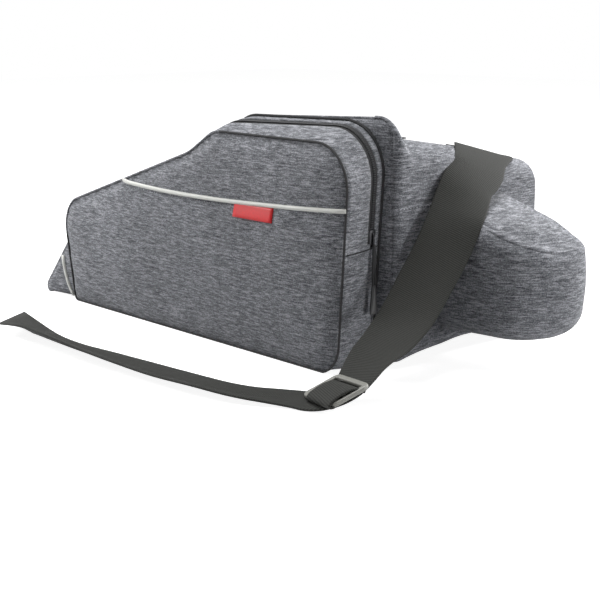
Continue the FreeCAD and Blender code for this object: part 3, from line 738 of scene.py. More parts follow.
def squared(line, directions, shares):
    """The width's directions, square to the run except at the sewn end, which is cut on the bias."""
    along = run_directions(line)
    square = np.clip((1.35 - shares) / 0.3, 0, 1)[:, None]
    across = directions - along * np.sum(directions * along, axis=1)[:, None] * square
    return across / np.linalg.norm(across, axis=1)[:, None]


def ribbon(name, line, across, shares, bias=0.0, crease=None):
    """A flat webbing with rounded edges along a line; its UV runs along its length in metres."""
    half, rim = sizes().webbing_width / MM / 2, sizes().webbing_thick / MM / 2
    # Cross-section: across, face; the corners are rounded.
    outline = [(-1, 0), (-0.985, 0.8), (-0.94, 1), (-0.6, 1), (-0.2, 1), (0.05, 1), (0.2, 1), (0.35, 1),
               (0.6, 1), (0.94, 1), (0.985, 0.8), (1, 0)]
    outline += [(a, -b) for a, b in reversed(outline[1:-1])]
    along = run_directions(line)
    face = np.cross(along, across)
    run = run_lengths(line)
    points, uvs = [], []
    for i, centre in enumerate(line):
        # The free end is cut slanting: one edge stops short of the other.
        slant = bias * max(0.0, 1 - (run[-1] - run[i]) / CUT_REACH)
        for a, b in outline:
            dip = crease[i] * max(0.0, 1 - abs(a - 0.2) / 0.5) if crease is not None else 0.0
            points.append(centre + across[i] * a * half * shares[i] + face[i] * (b * rim + dip)
                          + along[i] * (a + 1) * slant)
            uvs.append((run[i] * MM, a * half * MM + (0.1 if b < 0 else 0)))
    faces = tube_faces(len(line), len(outline))
    return outward_normals(mesh_object(name, points, faces, "webbing", uvs))


# ---- operators ----------------------------------------------------------------------------------------
class PieceOperator:
    bl_options = {"REGISTER", "UNDO"}

    def execute(self, context):
        self.build()
        return {"FINISHED"}


class BAG_OT_stage(PieceOperator, bpy.types.Operator):
    """Makes the floor, the lights, the world and the camera."""
    bl_idname = "saddle_bag.stage"
    bl_label = "Stage"

    CAMERA = Vector((0.8518, -0.8349, 0.252))
    AZIMUTH = math.radians(44.5)
    ELEVATION = math.radians(11.5)
    SENSOR = 36                      # width in millimetres, as the focal length
    FLOOR_HALF = 4.0
    FLOOR_GLOW = 0.9                 # what lifts the floor to white where the camera sees it
    WORLD_LIGHT = 0.14
    LAMPS_AIM = Vector((0.02, -0.02, 0.08))
    # Place, size and power: a key lamp behind on the right, a weaker fill in front on the left, a broad
    # lamp above and a low one on the right.
    LAMPS = {
        "key_lamp": ((0.65, 1.55, 0.75), 0.5, 27),
        "fill_lamp": ((-0.75, -0.6, 0.65), 0.5, 8),
        "top_lamp": ((0.1, 0.1, 1.9), 1.0, 36),
        "low_lamp": ((1.5, 0.45, 0.12), 0.4, 7),
    }

    def build(self):
        scene = bpy.context.scene
        scene.view_settings.view_transform = "Standard"
        self.make_camera(scene)
        self.make_floor()
        self.make_world(scene)
        for name, (place, size, power) in self.LAMPS.items():
            self.make_lamp(name, place, size, power)

    def make_camera(self, scene):
        camera = bpy.data.cameras.new("camera")
        camera.lens = sizes().camera_focal
        camera.sensor_width = self.SENSOR
        camera.clip_start = 0.05
        made = new_object("camera", camera)
        made.location = self.CAMERA
        forward = Vector((-math.sin(self.AZIMUTH) * math.cos(self.ELEVATION),
                          math.cos(self.AZIMUTH) * math.cos(self.ELEVATION), -math.sin(self.ELEVATION)))
        made.rotation_euler = forward.to_track_quat("-Z", "Y").to_euler()
        scene.camera = made

    def make_floor(self):
        """A pale floor that the camera sees as white apart from the object's shadow."""
        half = self.FLOOR_HALF
        mesh = bpy.data.meshes.new("floor")
        mesh.from_pydata([(-half, -half, 0), (half, -half, 0), (half, half, 0), (-half, half, 0)], [],
                         [(0, 1, 2, 3)])
        material, tree, shader = new_material("seamless_paper_white")
        fill(tree, shader, {"Base Color": linear("c8c8c8"), "Roughness": 0.9, "Specular IOR Level": 0.0})
        glow = add_node(tree, "ShaderNodeEmission", {"Color": (1, 1, 1, 1), "Strength": self.FLOOR_GLOW})
        both = add_node(tree, "ShaderNodeAddShader", {0: shader, 1: glow})
        pick = add_node(tree, "ShaderNodeMixShader", {"Fac": seen_directly(tree), 1: shader, 2: both})
        fill(tree, tree.nodes["Material Output"], {"Surface": pick})
        mesh.materials.append(material)
        new_object("floor", mesh)

    def make_world(self, scene):
        world = bpy.data.worlds.new("studio_world")
        world.use_nodes = True
        tree = world.node_tree
        tree.nodes.clear()
        soft, white = (add_node(tree, "ShaderNodeBackground", {"Color": (1, 1, 1, 1), "Strength": strength})
                       for strength in (self.WORLD_LIGHT, 1.0))
        pick = add_node(tree, "ShaderNodeMixShader", {"Fac": seen_directly(tree), 1: soft, 2: white})
        add_node(tree, "ShaderNodeOutputWorld", {"Surface": pick})
        scene.world = world

    def make_lamp(self, name, place, size, power):
        lamp = bpy.data.lights.new(name, "AREA")
        lamp.shape = "DISK"
        lamp.size = size
        lamp.energy = power
        made = new_object(name, lamp)
        made.location = place
        made.rotation_euler = (self.LAMPS_AIM - Vector(place)).to_track_quat("-Z", "Y").to_euler()


class BAG_OT_strap(PieceOperator, bpy.types.Operator):
    """Makes the webbing strap, its tri-glide and the fold of webbing round it."""
    bl_idname = "saddle_bag.strap"
    bl_label = "Strap"

    WIDEST = 1.38                    # share of the width at the sewn end
    CREASE = -2.6                    # depth of the crease along the tail
    CREASE_X = [-100, -60, 60, 190, 225]     # and its share along x, on the near side of TAIL_Y
    CREASE_SHARES = [0, 1, 1, 0.8, 0]
    TAIL_Y = -180
    CUT_BIAS = -26                   # how far the slanting cut stops short in its middle
    CUT_BACK = 15                    # from the tip of the free end to the end of the centre line
    GLIDE_CENTRE = (248.4, -187.4, 11.6)
    GLIDE_TURNS = ((-21.8, "Z"), (-5.2, "Y"), (21.6, "X"))
    GLIDE_LENGTH = 48
    GLIDE_WIDTH = 30
    GLIDE_HEIGHT = 3.2
    GLIDE_BAR = 4.2                  # width of the frame and of its middle bar
    # The webbing that comes up through the glide, seen along its width: over the middle and outer bars.
    FOLD = [(10, -2.6), (8.5, -0.5), (6, 1.9), (2, 3.3), (-3, 3.7), (-8, 3.4), (-12, 2.9), (-15.2, 1.8),
            (-16.4, 0.2), (-15.6, -1.2), (-12, -1.6)]
    FOLD_X = 4.8                     # centre of its width
    FOLD_SHARE = 0.9                 # share of the webbing's width

    def build(self):
        line = strap_centre_line()
        directions, shares = strap_widths(line)
        across = squared(line, directions, shares)
        crease = np.interp(line[:, 0], self.CREASE_X, self.CREASE_SHARES) * (line[:, 1] < self.TAIL_Y)
        strap = ribbon("strap", line, across, np.minimum(shares, self.WIDEST), bias=self.CUT_BIAS,
                       crease=crease * self.CREASE)
        # The sewn end is wider than the webbing: a second layer spreads it along the bag's top edge.
        end = int(np.argmax(shares < 1.02)) + 1
        lift = np.cross(run_directions(line), across)[:end] * np.linspace(0.6, -0.7, end)[:, None]
        root = ribbon("strap_root", line[:end] + lift, across[:end], shares[:end] - 0.03)
        glide = self.make_glide()
        fold = self.make_fold()
        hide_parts("strap_webbing", "strap_tail")
        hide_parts("strap_glide")
        for piece, slot in ((strap, "webbing"), (root, "webbing"), (glide, "glide"), (fold, "webbing")):
            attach(piece, "bag")
        # The centre line stops short of the slanting cut's tip.
        run = run_lengths(line)
        line = line[run <= run[-1] - self.CUT_BACK]

    def make_glide(self):
        x, y, bar = self.GLIDE_LENGTH / 2, self.GLIDE_WIDTH / 2, self.GLIDE_BAR
        slot = (self.GLIDE_WIDTH - 3 * bar) / 2
        outlines = [rounded_rectangle(-x, x, -y, y, 5.5)]
        for low in (-y + bar, bar / 2):
            outlines.append(rounded_rectangle(-x + bar, x - bar, low, low + slot, 1.5))
        return self.placed(rounded_plate("strap_glide_frame", outlines, self.GLIDE_HEIGHT, 1.2, "glide",
                                         -self.GLIDE_HEIGHT / 2))

    def make_fold(self):
        line = []
        for (y0, z0), (y1, z1) in zip(self.FOLD, self.FOLD[1:]):
            line += [(self.FOLD_X, y0 + (y1 - y0) * k / 3, z0 + (z1 - z0) * k / 3) for k in range(3)]
        line = eased(np.array(line, float), 3)
        directions = np.tile([1.0, 0.0, 0.0], (len(line), 1))
        return self.placed(ribbon("strap_fold", line, directions, np.full(len(line), self.FOLD_SHARE)))

    def placed(self, piece):
        """The piece, turned and moved with the glide."""
        turn = Matrix.Translation(Vector(self.GLIDE_CENTRE) * MM)
        for degrees, axis in self.GLIDE_TURNS:
            turn = turn @ Matrix.Rotation(math.radians(degrees), 4, axis)
        piece.data.transform(turn)
        return piece


class BAG_OT_body(PieceOperator, bpy.types.Operator):
    """Makes the main body's walls, top, lid and base."""
    bl_idname = "saddle_bag.body"
    bl_label = "Body"

    COUNTS = run_counts(BODY, 6)
    TURN_ANGLES = (0, 18, 36, 54, 72, 90)
    RIM_COLUMNS = [-78, -76, -74, -72, -70, -68, -66, -63]   # close together where the near rim falls
    MIDDLE_Y = -59                   # where the wider columns start
    SIDE_SWELL = 1.2
    FRONT_SWELL = 4
    REAR_SWELL = 1.6
    LID_SWELL = 2.5
    LID_GAP = 4                      # between the lid and the top round it, where the zip tapes lie

    def build(self):
        self.make_side("side_near", NEAR_Y, -1, "main_wall_near", 3)
        self.make_side("side_far", FAR_Y, 1, "main_wall_far", 4)
        self.make_front()
        self.make_rear()
        self.make_top()
        self.make_base()

    @staticmethod
    def taper(y):
        return float(np.interp(y, *zip(*HEIGHT_SHARES)))

    @staticmethod
    def edge_drop(y):
        """How far the skin has turned in at y, near the body's long edges."""
        gap = min(y - NEAR_Y, FAR_Y - y)
        if gap >= EDGE_ROUND:
            return 0.0
        return EDGE_ROUND - math.sqrt(EDGE_ROUND ** 2 - (EDGE_ROUND - gap) ** 2)

    @staticmethod
    def inner(y, reach):
        """0 on the body's long edges, rising to 1 at reach from them."""
        return np.clip(np.minimum(y - NEAR_Y, FAR_Y - y) / reach, 0, 1)

    def section(self, y, drop):
        share = self.taper(y)
        scaled = [(x, z * share, radius) for x, z, radius in BODY]
        return outline_points(inset(scaled, drop) if drop else scaled, self.COUNTS)

    @classmethod
    def columns(cls):
        """y of each column of the skin: close together where it turns over the long edges."""
        turn = [NEAR_Y + EDGE_ROUND * (1 - math.cos(math.radians(a))) for a in cls.TURN_ANGLES]
        middle = list(np.linspace(cls.MIDDLE_Y, FAR_Y - EDGE_ROUND, 25))
        return turn + cls.RIM_COLUMNS + middle[:-1] + [-y for y in reversed(turn)]

    def make_side(self, name, y, side, node, seed):
        outline = self.section(y, EDGE_ROUND)
        places, faces = filled_sheet(outline, 7)
        distance = edge_distance(places, outline)
        rise = swell(distance, 70) * self.SIDE_SWELL + ripple(places, 60, seed) * 0.35
        rise *= np.clip(distance / 12, 0, 1)
        points = np.stack([places[:, 0], y + side * rise, places[:, 1]], axis=1)
        fasten(cloth(name, points, faces, "tweed", (0, side, 0)), "tweed", node)

    def make_front(self):
        """The skin from the foot of the nose up the slope to the crown."""
        pick = slice(corner_index(0, self.COUNTS), corner_index(4, self.COUNTS) + 3)
        rows, ys = [], self.columns()
        for y in ys:
            section = self.section(y, self.edge_drop(y))[pick]
            rows.append(np.stack([section[:, 0], np.full(len(section), y), section[:, 1]], axis=1))
        points = np.concatenate(rows)
        columns = len(rows[0])
        inner = self.inner(points[:, 1], 60)
        across = np.tile(np.linspace(0, 1, columns), len(ys))
        amount = self.FRONT_SWELL * np.sin(inner * math.pi / 2) * np.sin(across * math.pi) ** 0.5
        amount += ripple(points, 70, 11) * 0.8 * inner
        normals = outline_normals(self.section(0, 0))[pick]
        push = np.stack([normals[:, 0], np.zeros(columns), normals[:, 1]], axis=1)
        points = points + np.tile(push, (len(ys), 1)) * amount[:, None]
        points[:, 2] = np.maximum(points[:, 2], 0)
        sheet = cloth("front_slope_sheet", points, grid_faces(len(ys), columns), "tweed_top", (-0.5, 0, 1))
        fasten(sheet, "tweed", "front_slope")

    def flat_top(self, y):
        """Height where the rear wall starts to turn over into the top."""
        return TOP_Z * self.taper(y) - TOP_ROUND

    def rear_point(self, y, z):
        return (REAR_X - self.edge_drop(y), y, min(z, self.flat_top(y)))

    def rear_turn(self, y, degrees):
        """A point on the rounding above the rear wall."""
        a = math.radians(degrees)
        radius = TOP_ROUND - self.edge_drop(y)
        return (REAR_X - TOP_ROUND + radius * math.cos(a), y, self.flat_top(y) + radius * math.sin(a))

    def make_rear(self):
        ys = self.columns()
        upper, lower = [], []
        for y in ys:
            column = [self.rear_point(y, z) for z in np.linspace(WAIST_Z, self.flat_top(y), 7)]
            column += [self.rear_turn(y, a) for a in np.linspace(10, 90, 9)]
            column.append((column[-1][0] - 4, y, column[-1][2]))
            upper.append(column)
            arch = ARCH_RISE - ARCH_RADIUS + math.sqrt(ARCH_RADIUS ** 2 - y ** 2)
            lower.append([self.rear_point(y, z) for z in np.linspace(arch, WAIST_Z, 18)])
        for name, columns, node, seed in (("rear_upper", upper, "rear_wall_upper", 21),
                                          ("rear_lower", lower, "rear_wall_lower", 22)):
            points = np.array(columns).reshape(-1, 3)
            inner = self.inner(points[:, 1], 50)
            seam = np.clip(np.abs(points[:, 2] - WAIST_Z) / 14, 0, 1)
            rise = self.REAR_SWELL * np.sin(inner * math.pi / 2) + ripple(points[:, 1:], 55, seed) * 0.9
            points[:, 0] += rise * seam * inner
            sheet = cloth(name, points, grid_faces(len(ys), len(columns[0])), "tweed", (1, 0, 0.3))
            fasten(sheet, "tweed", node)

    def top_height(self, x, y):
        first = corner_index(2, self.COUNTS)
        last = corner_index(5, self.COUNTS) + ARC_STEPS + 1
        upper = self.section(y, 0)[first:last]
        return float(np.interp(x, upper[:, 0], upper[:, 1])) - self.edge_drop(y)

    def patch(self, xs, ys, puff=0.0):
        """A grid of points on the body's top, puffed up in its middle."""
        points = []
        middle, centre = (ys[0] + ys[-1]) / 2, (xs[0] + xs[-1]) / 2
        for x in xs:
            for y in ys:
                share = 1 - ((y - middle) / (ys[-1] - middle)) ** 2
                share *= 1 - ((x - centre) / (xs[-1] - centre)) ** 2
                points.append((x, y, self.top_height(x, y) + puff * share))
        return np.array(points), grid_faces(len(xs), len(ys))

    def make_top(self):
        """The top in four strips round the lid's opening, and the lid."""
        front_x = self.section(0, 0)[corner_index(4, self.COUNTS) + 2][0]
        hole_x = (LID_LOW[0] - self.LID_GAP, LID_HIGH[0] + self.LID_GAP)
        hole_y = (LID_LOW[1] - self.LID_GAP, LID_HIGH[1] + 1)
        near = [y for y in self.columns() if y < hole_y[0]] + [hole_y[0]]
        far = [hole_y[1]] + [y for y in self.columns() if y > hole_y[1]]
        whole = near[:-1] + list(np.linspace(*hole_y, 20)) + far[1:]
        long = np.linspace(*hole_x, 18)
        points, faces = np.zeros((0, 3)), []
        for xs, ys in ((np.linspace(front_x, hole_x[0], 4), whole), (long, near), (long, far),
                       (np.linspace(hole_x[1], REAR_X - TOP_ROUND - 4, 3), whole)):
            made, quads = self.patch(xs, ys)
            faces += [tuple(v + len(points) for v in q) for q in quads]
            points = np.concatenate([points, made])
        sheet = cloth("top_frame_sheet", points, faces, "tweed_top", (0, 0, 1), weld=0.0002)
        fasten(sheet, "tweed", "top_frame")
        made, quads = self.patch(np.linspace(LID_LOW[0], LID_HIGH[0], 18),
                                 np.linspace(LID_LOW[1], LID_HIGH[1], 24), self.LID_SWELL)
        lid = cloth("lid_sheet", made, quads, "tweed_top", (0, 0, 1))
        fasten(lid, "tweed", "lid", body="lid")

    def make_base(self):
        base = new_object("base_sheet", NODES["base_panel"].data.copy())
        merge(base, 0.00005)
        base.data.materials.clear()
        base.data.materials.append(MATERIALS["lining"])
        fasten(soften(base, 0.0008, 30), "lining", "base_panel")


class BAG_OT_wedge_pocket(PieceOperator, bpy.types.Operator):
    """Makes the wedge pocket's panel, side bands, seams, zip, label and puller."""
    bl_idname = "saddle_bag.wedge_pocket"
    bl_label = "Wedge pocket"

    COUNTS = run_counts(PANEL, 5)
    PANEL_SWELL = 10.0
    PIPING_PULL = 1.4                # how far the reflective piping draws the panel in
    BAND_PUFF = 2.2
    TAPE_PUFF = 1.2
    ZIP_END_X = 48                   # the zip's front end
    ZIP_END_Z = 90                   # and its rear end
    COIL_GAP = 0.9                   # from the middle of the zip to each tape
    TAPE_LAP = 0.6                   # of a tape over the cloth beside it
    # Where the edges lie over the front slope: largest x and lowest z.
    PANEL_SLOPE_ENDS = (60, 58)
    FOOT_SLOPE_ENDS = (56, 50)
    PULLER_OUT = 1.0                 # from the middle of the puller's box to its rear

    def build(self):
        self.panel = outline_points(PANEL, self.COUNTS)
        self.foot = outline_points(FOOT, self.COUNTS)
        self.normals = outline_normals(self.panel)
        self.find_zip_range()
        self.make_panel()
        self.make_bands()
        self.make_seams()
        self.make_zip()
        self.make_trim()
        self.make_slider()

    def find_zip_range(self):
        """Indices of the outline between which the zip runs, from its front end over to the rear."""
        crown = corner_index(3, self.COUNTS)
        heel = corner_index(5, self.COUNTS)
        inside = [i for i in range(crown - 8, heel) if self.panel[i][0] >= self.ZIP_END_X
                  and self.panel[i][1] >= self.ZIP_END_Z]
        self.zip_first = inside[0]
        self.zip_last = inside[-1]
        self.zipped = list(range(self.zip_first, self.zip_last + 1))

    def skin_point(self, i, share, puff=BAND_PUFF):
        """A point of the pocket's side at outline index i, share of the way from panel to foot."""
        front, back = self.panel[i], self.foot[i]
        flat = front + (back - front) * share
        depth = NEAR_Y - panel_y(front[0])
        out = self.normals[i] * puff * 4 * share * (1 - share) * min(1.0, depth / 30)
        keep_up = 0.0 if flat[1] < 3 else 1.0
        return (flat[0] + out[0], panel_y(front[0]) + depth * share, flat[1] + out[1] * keep_up)

    def share_at(self, i, y):
        front_y = panel_y(self.panel[i][0])
        return (y - front_y) / (NEAR_Y - front_y)

    def swelling(self, x, z, distance):
        """The panel's swelling, which the reflective piping draws in along its line."""
        pull = self.PIPING_PULL * np.exp(-((z - piping_z(x)) / 7) ** 2) * np.clip(distance / 15, 0, 1)
        return self.PANEL_SWELL * swell(distance, 80) - pull

    def make_panel(self):
        places, faces = filled_sheet(self.panel, 5)
        distance = edge_distance(places, self.panel)
        x, z = places[:, 0], places[:, 1]
        rise = self.swelling(x, z, distance) - 3.0 * np.clip(1 - distance / 9, 0, 1)
        rise += ripple(places, 75, 5) * 0.9 * np.clip(distance / 30, 0, 1)
        # Puckers along the foot and the rear edge, where the seam gathers the cloth.
        rise += 0.9 * np.sin(x / 6.5) * np.exp(-((z - 12) / 14) ** 2) * np.exp(-((x - 25) / 38) ** 2)
        rise += 0.8 * np.sin(z / 5.0 + x * 0.05) * np.exp(-((x - 186) / 16) ** 2) * np.clip(1 - z / 130, 0, 1)
        rise *= np.clip(distance / 4, 0, 1)
        points = np.stack([x, panel_y(x) - rise, z], axis=1)
        sheet = cloth("pocket_panel_sheet", points, faces, "tweed", (0, -1, 0))
        fold_blend(sheet, "tweed", "pocket_panel", "pocket_panel_flap")

    def band(self, name, indices, low_y, high_y, columns, material, puff=BAND_PUFF, thick=None):
        """The pocket's side over the outline's indices between two y; None is the panel or the foot."""
        points = []
        for i in indices:
            low = 0 if low_y is None else self.share_at(i, low_y)
            high = 1 if high_y is None else self.share_at(i, high_y)
            points += [self.skin_point(i, low + (high - low) * k / (columns - 1), puff)
                       for k in range(columns)]
        middle = np.array([20, 0, 80])
        return cloth(name, points, grid_faces(len(indices), columns), material,
                     lambda c: tuple((np.array(c) / MM - middle) * (1, 0, 1)), thick=thick)

    def make_bands(self):
        total = len(self.panel)
        rest = [i % total for i in range(self.zip_last, self.zip_first + total + 1)]
        side = self.band("pocket_side_band", rest, None, None, 9, "tweed")
        fasten(side, "tweed", "pocket_gusset_front", "pocket_gusset_toe", "pocket_floor",
               "pocket_gusset_heel")
        front = self.band("pocket_front_band", self.zipped, None, ZIP_Y - ZIP_HALF, 7, "tweed")
        fold_blend(front, "tweed", "pocket_gusset_flap")
        back = self.band("pocket_back_band", self.zipped, ZIP_Y + ZIP_HALF, None, 6, "tweed")
        fasten(back, "tweed", "pocket_gusset_rear")

    @staticmethod
    def slope_range(line, ends):
        """First and last index of the points of a line that lie over the front slope."""
        inside = [i for i, (x, _, z) in enumerate(line) if x < ends[0] and z > ends[1]]
        return inside[0], inside[-1]

    def make_seams(self):
        """Over the front slope the edges are turned in their own cloth; the rest is piped in black."""
        radius = sizes().piping_radius / MM
        edge = [(x, panel_y(x) - 0.4, max(z, radius * 1.2)) for x, z in self.panel]
        first, last = self.slope_range(edge, self.PANEL_SLOPE_ENDS)
        fold_blend(tube("panel_edge_turned", edge[first:last + 1], radius, "tweed"), "tweed")
        fold_blend(tube("panel_seam_piping", edge[last:] + edge[:first + 1], radius, "binding"), "binding")
        heel = corner_index(5, self.COUNTS) + ARC_STEPS
        foot = self.foot[:heel] + outline_normals(self.foot)[:heel] * 0.8
        foot = [(x, NEAR_Y - 1.2, max(z, radius * 1.45)) for x, z in foot]
        first, last = self.slope_range(foot, self.FOOT_SLOPE_ENDS)
        fasten(tube("foot_seam_toe", foot[:first + 1], radius * 1.25, "binding"), "binding")
        fasten(tube("foot_seam_turned", foot[first:last + 1], radius, "tweed"), "tweed")
        fasten(tube("foot_seam_piping", foot[last:], radius * 1.25, "binding"), "binding",
               "pocket_seam_piping")

    def make_zip(self):
        flap = self.band("pocket_flap_tape", self.zipped, ZIP_Y - ZIP_HALF - self.TAPE_LAP,
                         ZIP_Y - self.COIL_GAP, 4, "binding", self.TAPE_PUFF, 0.0012)
        fold_blend(flap, "webbing", "pocket_tape_flap")
        fixed = self.band("pocket_back_tape", self.zipped, ZIP_Y + self.COIL_GAP,
                          ZIP_Y + ZIP_HALF + self.TAPE_LAP, 4, "binding", self.TAPE_PUFF, 0.0012)
        fasten(fixed, "webbing", "pocket_tape_fixed")
        path = [self.skin_point(i, self.share_at(i, ZIP_Y), 1.6) for i in self.zipped]
        coil = beads("pocket_zip_teeth", path, sizes().tooth_pitch, (0.0011, 0.0030, 0.0014), "coil", "Y")
        fasten(coil, "plastic", "pocket_coil")

    def make_trim(self):
        line = [(x, self.panel_face(x, piping_z(x)) - 0.6, piping_z(x)) for x in np.linspace(*PIPING_X, 60)]
        piping = tube("reflective_piping", line, 1.7, "reflective", sides=10)
        fold_blend(piping, "reflective", "pocket_piping", "pocket_piping_flap")
        self.make_label()
        self.make_stitching()

    def panel_face(self, x, z):
        """y of the panel's swollen face at a place, without its small ripples."""
        distance = edge_distance(np.array([[x, z]]), self.panel)
        rise = self.swelling(x, z, distance) * np.clip(distance / 4, 0, 1)
        return panel_y(x) - float(rise[0])

    def make_label(self):
        """A bare moulded label that hangs from the piping."""
        low, high = box_mm("label")
        xs = np.linspace(low[0], high[0], 14)
        zs = np.linspace(low[2] + 0.5, high[2], 6)
        points = []
        for x in xs:
            for z in zs:
                away = 0.9 + 0.9 * (high[2] - z) / (high[2] - low[2])
                points.append((x, self.panel_face(x, z) - away, z))
        sheet = cloth("label_tab", points, grid_faces(len(xs), len(zs)), "label", (0, -1, 0), thick=0.0010)
        fasten(sheet, "label", "label")

    def make_stitching(self):
        below = 3.0                  # from the piping down to its row of stitches
        path = [(x, self.panel_face(x, piping_z(x) - below) - 0.1, piping_z(x) - below)
                for x in np.linspace(PIPING_X[0] + 3, PIPING_X[1] - 2, 80)]
        fold_blend(stitches("piping_stitches", path, 0.0006), "binding")
        heel = [self.skin_point(self.zip_last + 1, s, 2.4) for s in np.linspace(0.04, 0.98, 12)]
        fasten(stitches("side_tuck_stitches", heel, 0.0007), "binding")
        fasten(tube("side_tuck_seam", heel, 0.55, "binding"), "binding")

    def make_slider(self):
        fasten(self.slider_body(*box_mm("pocket_slider")), "zip_metal", "pocket_slider", body="pocket_slider")
        fasten(self.puller_loop(*box_mm("puller_cord")), "webbing", "puller_cord", body="pocket_puller")
        fasten(self.puller_grip(*box_mm("puller_tab")), "plastic", "puller_tab", body="pocket_puller")

    def slider_body(self, low, high):
        """A slider: a waisted plate that leans with the zip, with a raised bridge."""
        x0 = low[0]
        _, y, z = (low + high) / 2
        points = []
        for share, half in ((0, 2.2), (0.15, 3.2), (0.5, 2.7), (0.8, 3.9), (1, 3.4)):
            height = (high[2] - low[2]) * share
            points += [(x0 + out + height * 0.073, y + side, low[2] + height)
                       for side, out in ((-half, 0.1), (-half * 0.85, 1.7), (half * 0.85, 1.7), (half, 0.1))]
        plate = outward_normals(mesh_object("pocket_slider_body", points, tube_faces(5, 4), "zip_metal"))
        soften(plate, 0.0006)
        bridge = [(x0 + 1.55, y, z - 4), (x0 + 3.2, y, z - 2.5), (x0 + 3.6, y, z + 1), (x0 + 2.4, y, z + 4)]
        return join(plate, tube("pocket_slider_bridge", bridge, 0.8, "zip_metal"))

    def puller_loop(self, low, high):
        """A cord doubled through the slider's bridge."""
        x, y, _ = (low + high) / 2
        top = high[2] + 4
        path = [(x + self.PULLER_OUT, y + math.cos(a), top - (1 - math.sin(a)) * (top - low[2]))
                for a in np.linspace(0, math.pi, 31)]
        return tube("puller_loop", path, 0.95, "binding")

    def puller_grip(self, low, high):
        """A flared moulded grip."""
        x, y, _ = (low + high) / 2
        flare = ((1, 1.6, 1.2), (0.9, 2.2, 1.5), (0.5, 2.9, 1.6), (0.15, 4.0, 1.6), (0, 4.2, 1.1))
        points = []
        for share, half, depth in flare:
            z = low[2] + (high[2] + 1 - low[2]) * share
            for a in np.arange(12) * math.pi / 6:
                side = math.copysign(abs(math.cos(a)) ** 0.7, math.cos(a))
                points.append((x + self.PULLER_OUT + depth * math.sin(a), y + half * side, z))
        grip = outward_normals(mesh_object("puller_grip", points, tube_faces(len(flare), 12), "plastic"))
        return soften(grip, 0.0005)


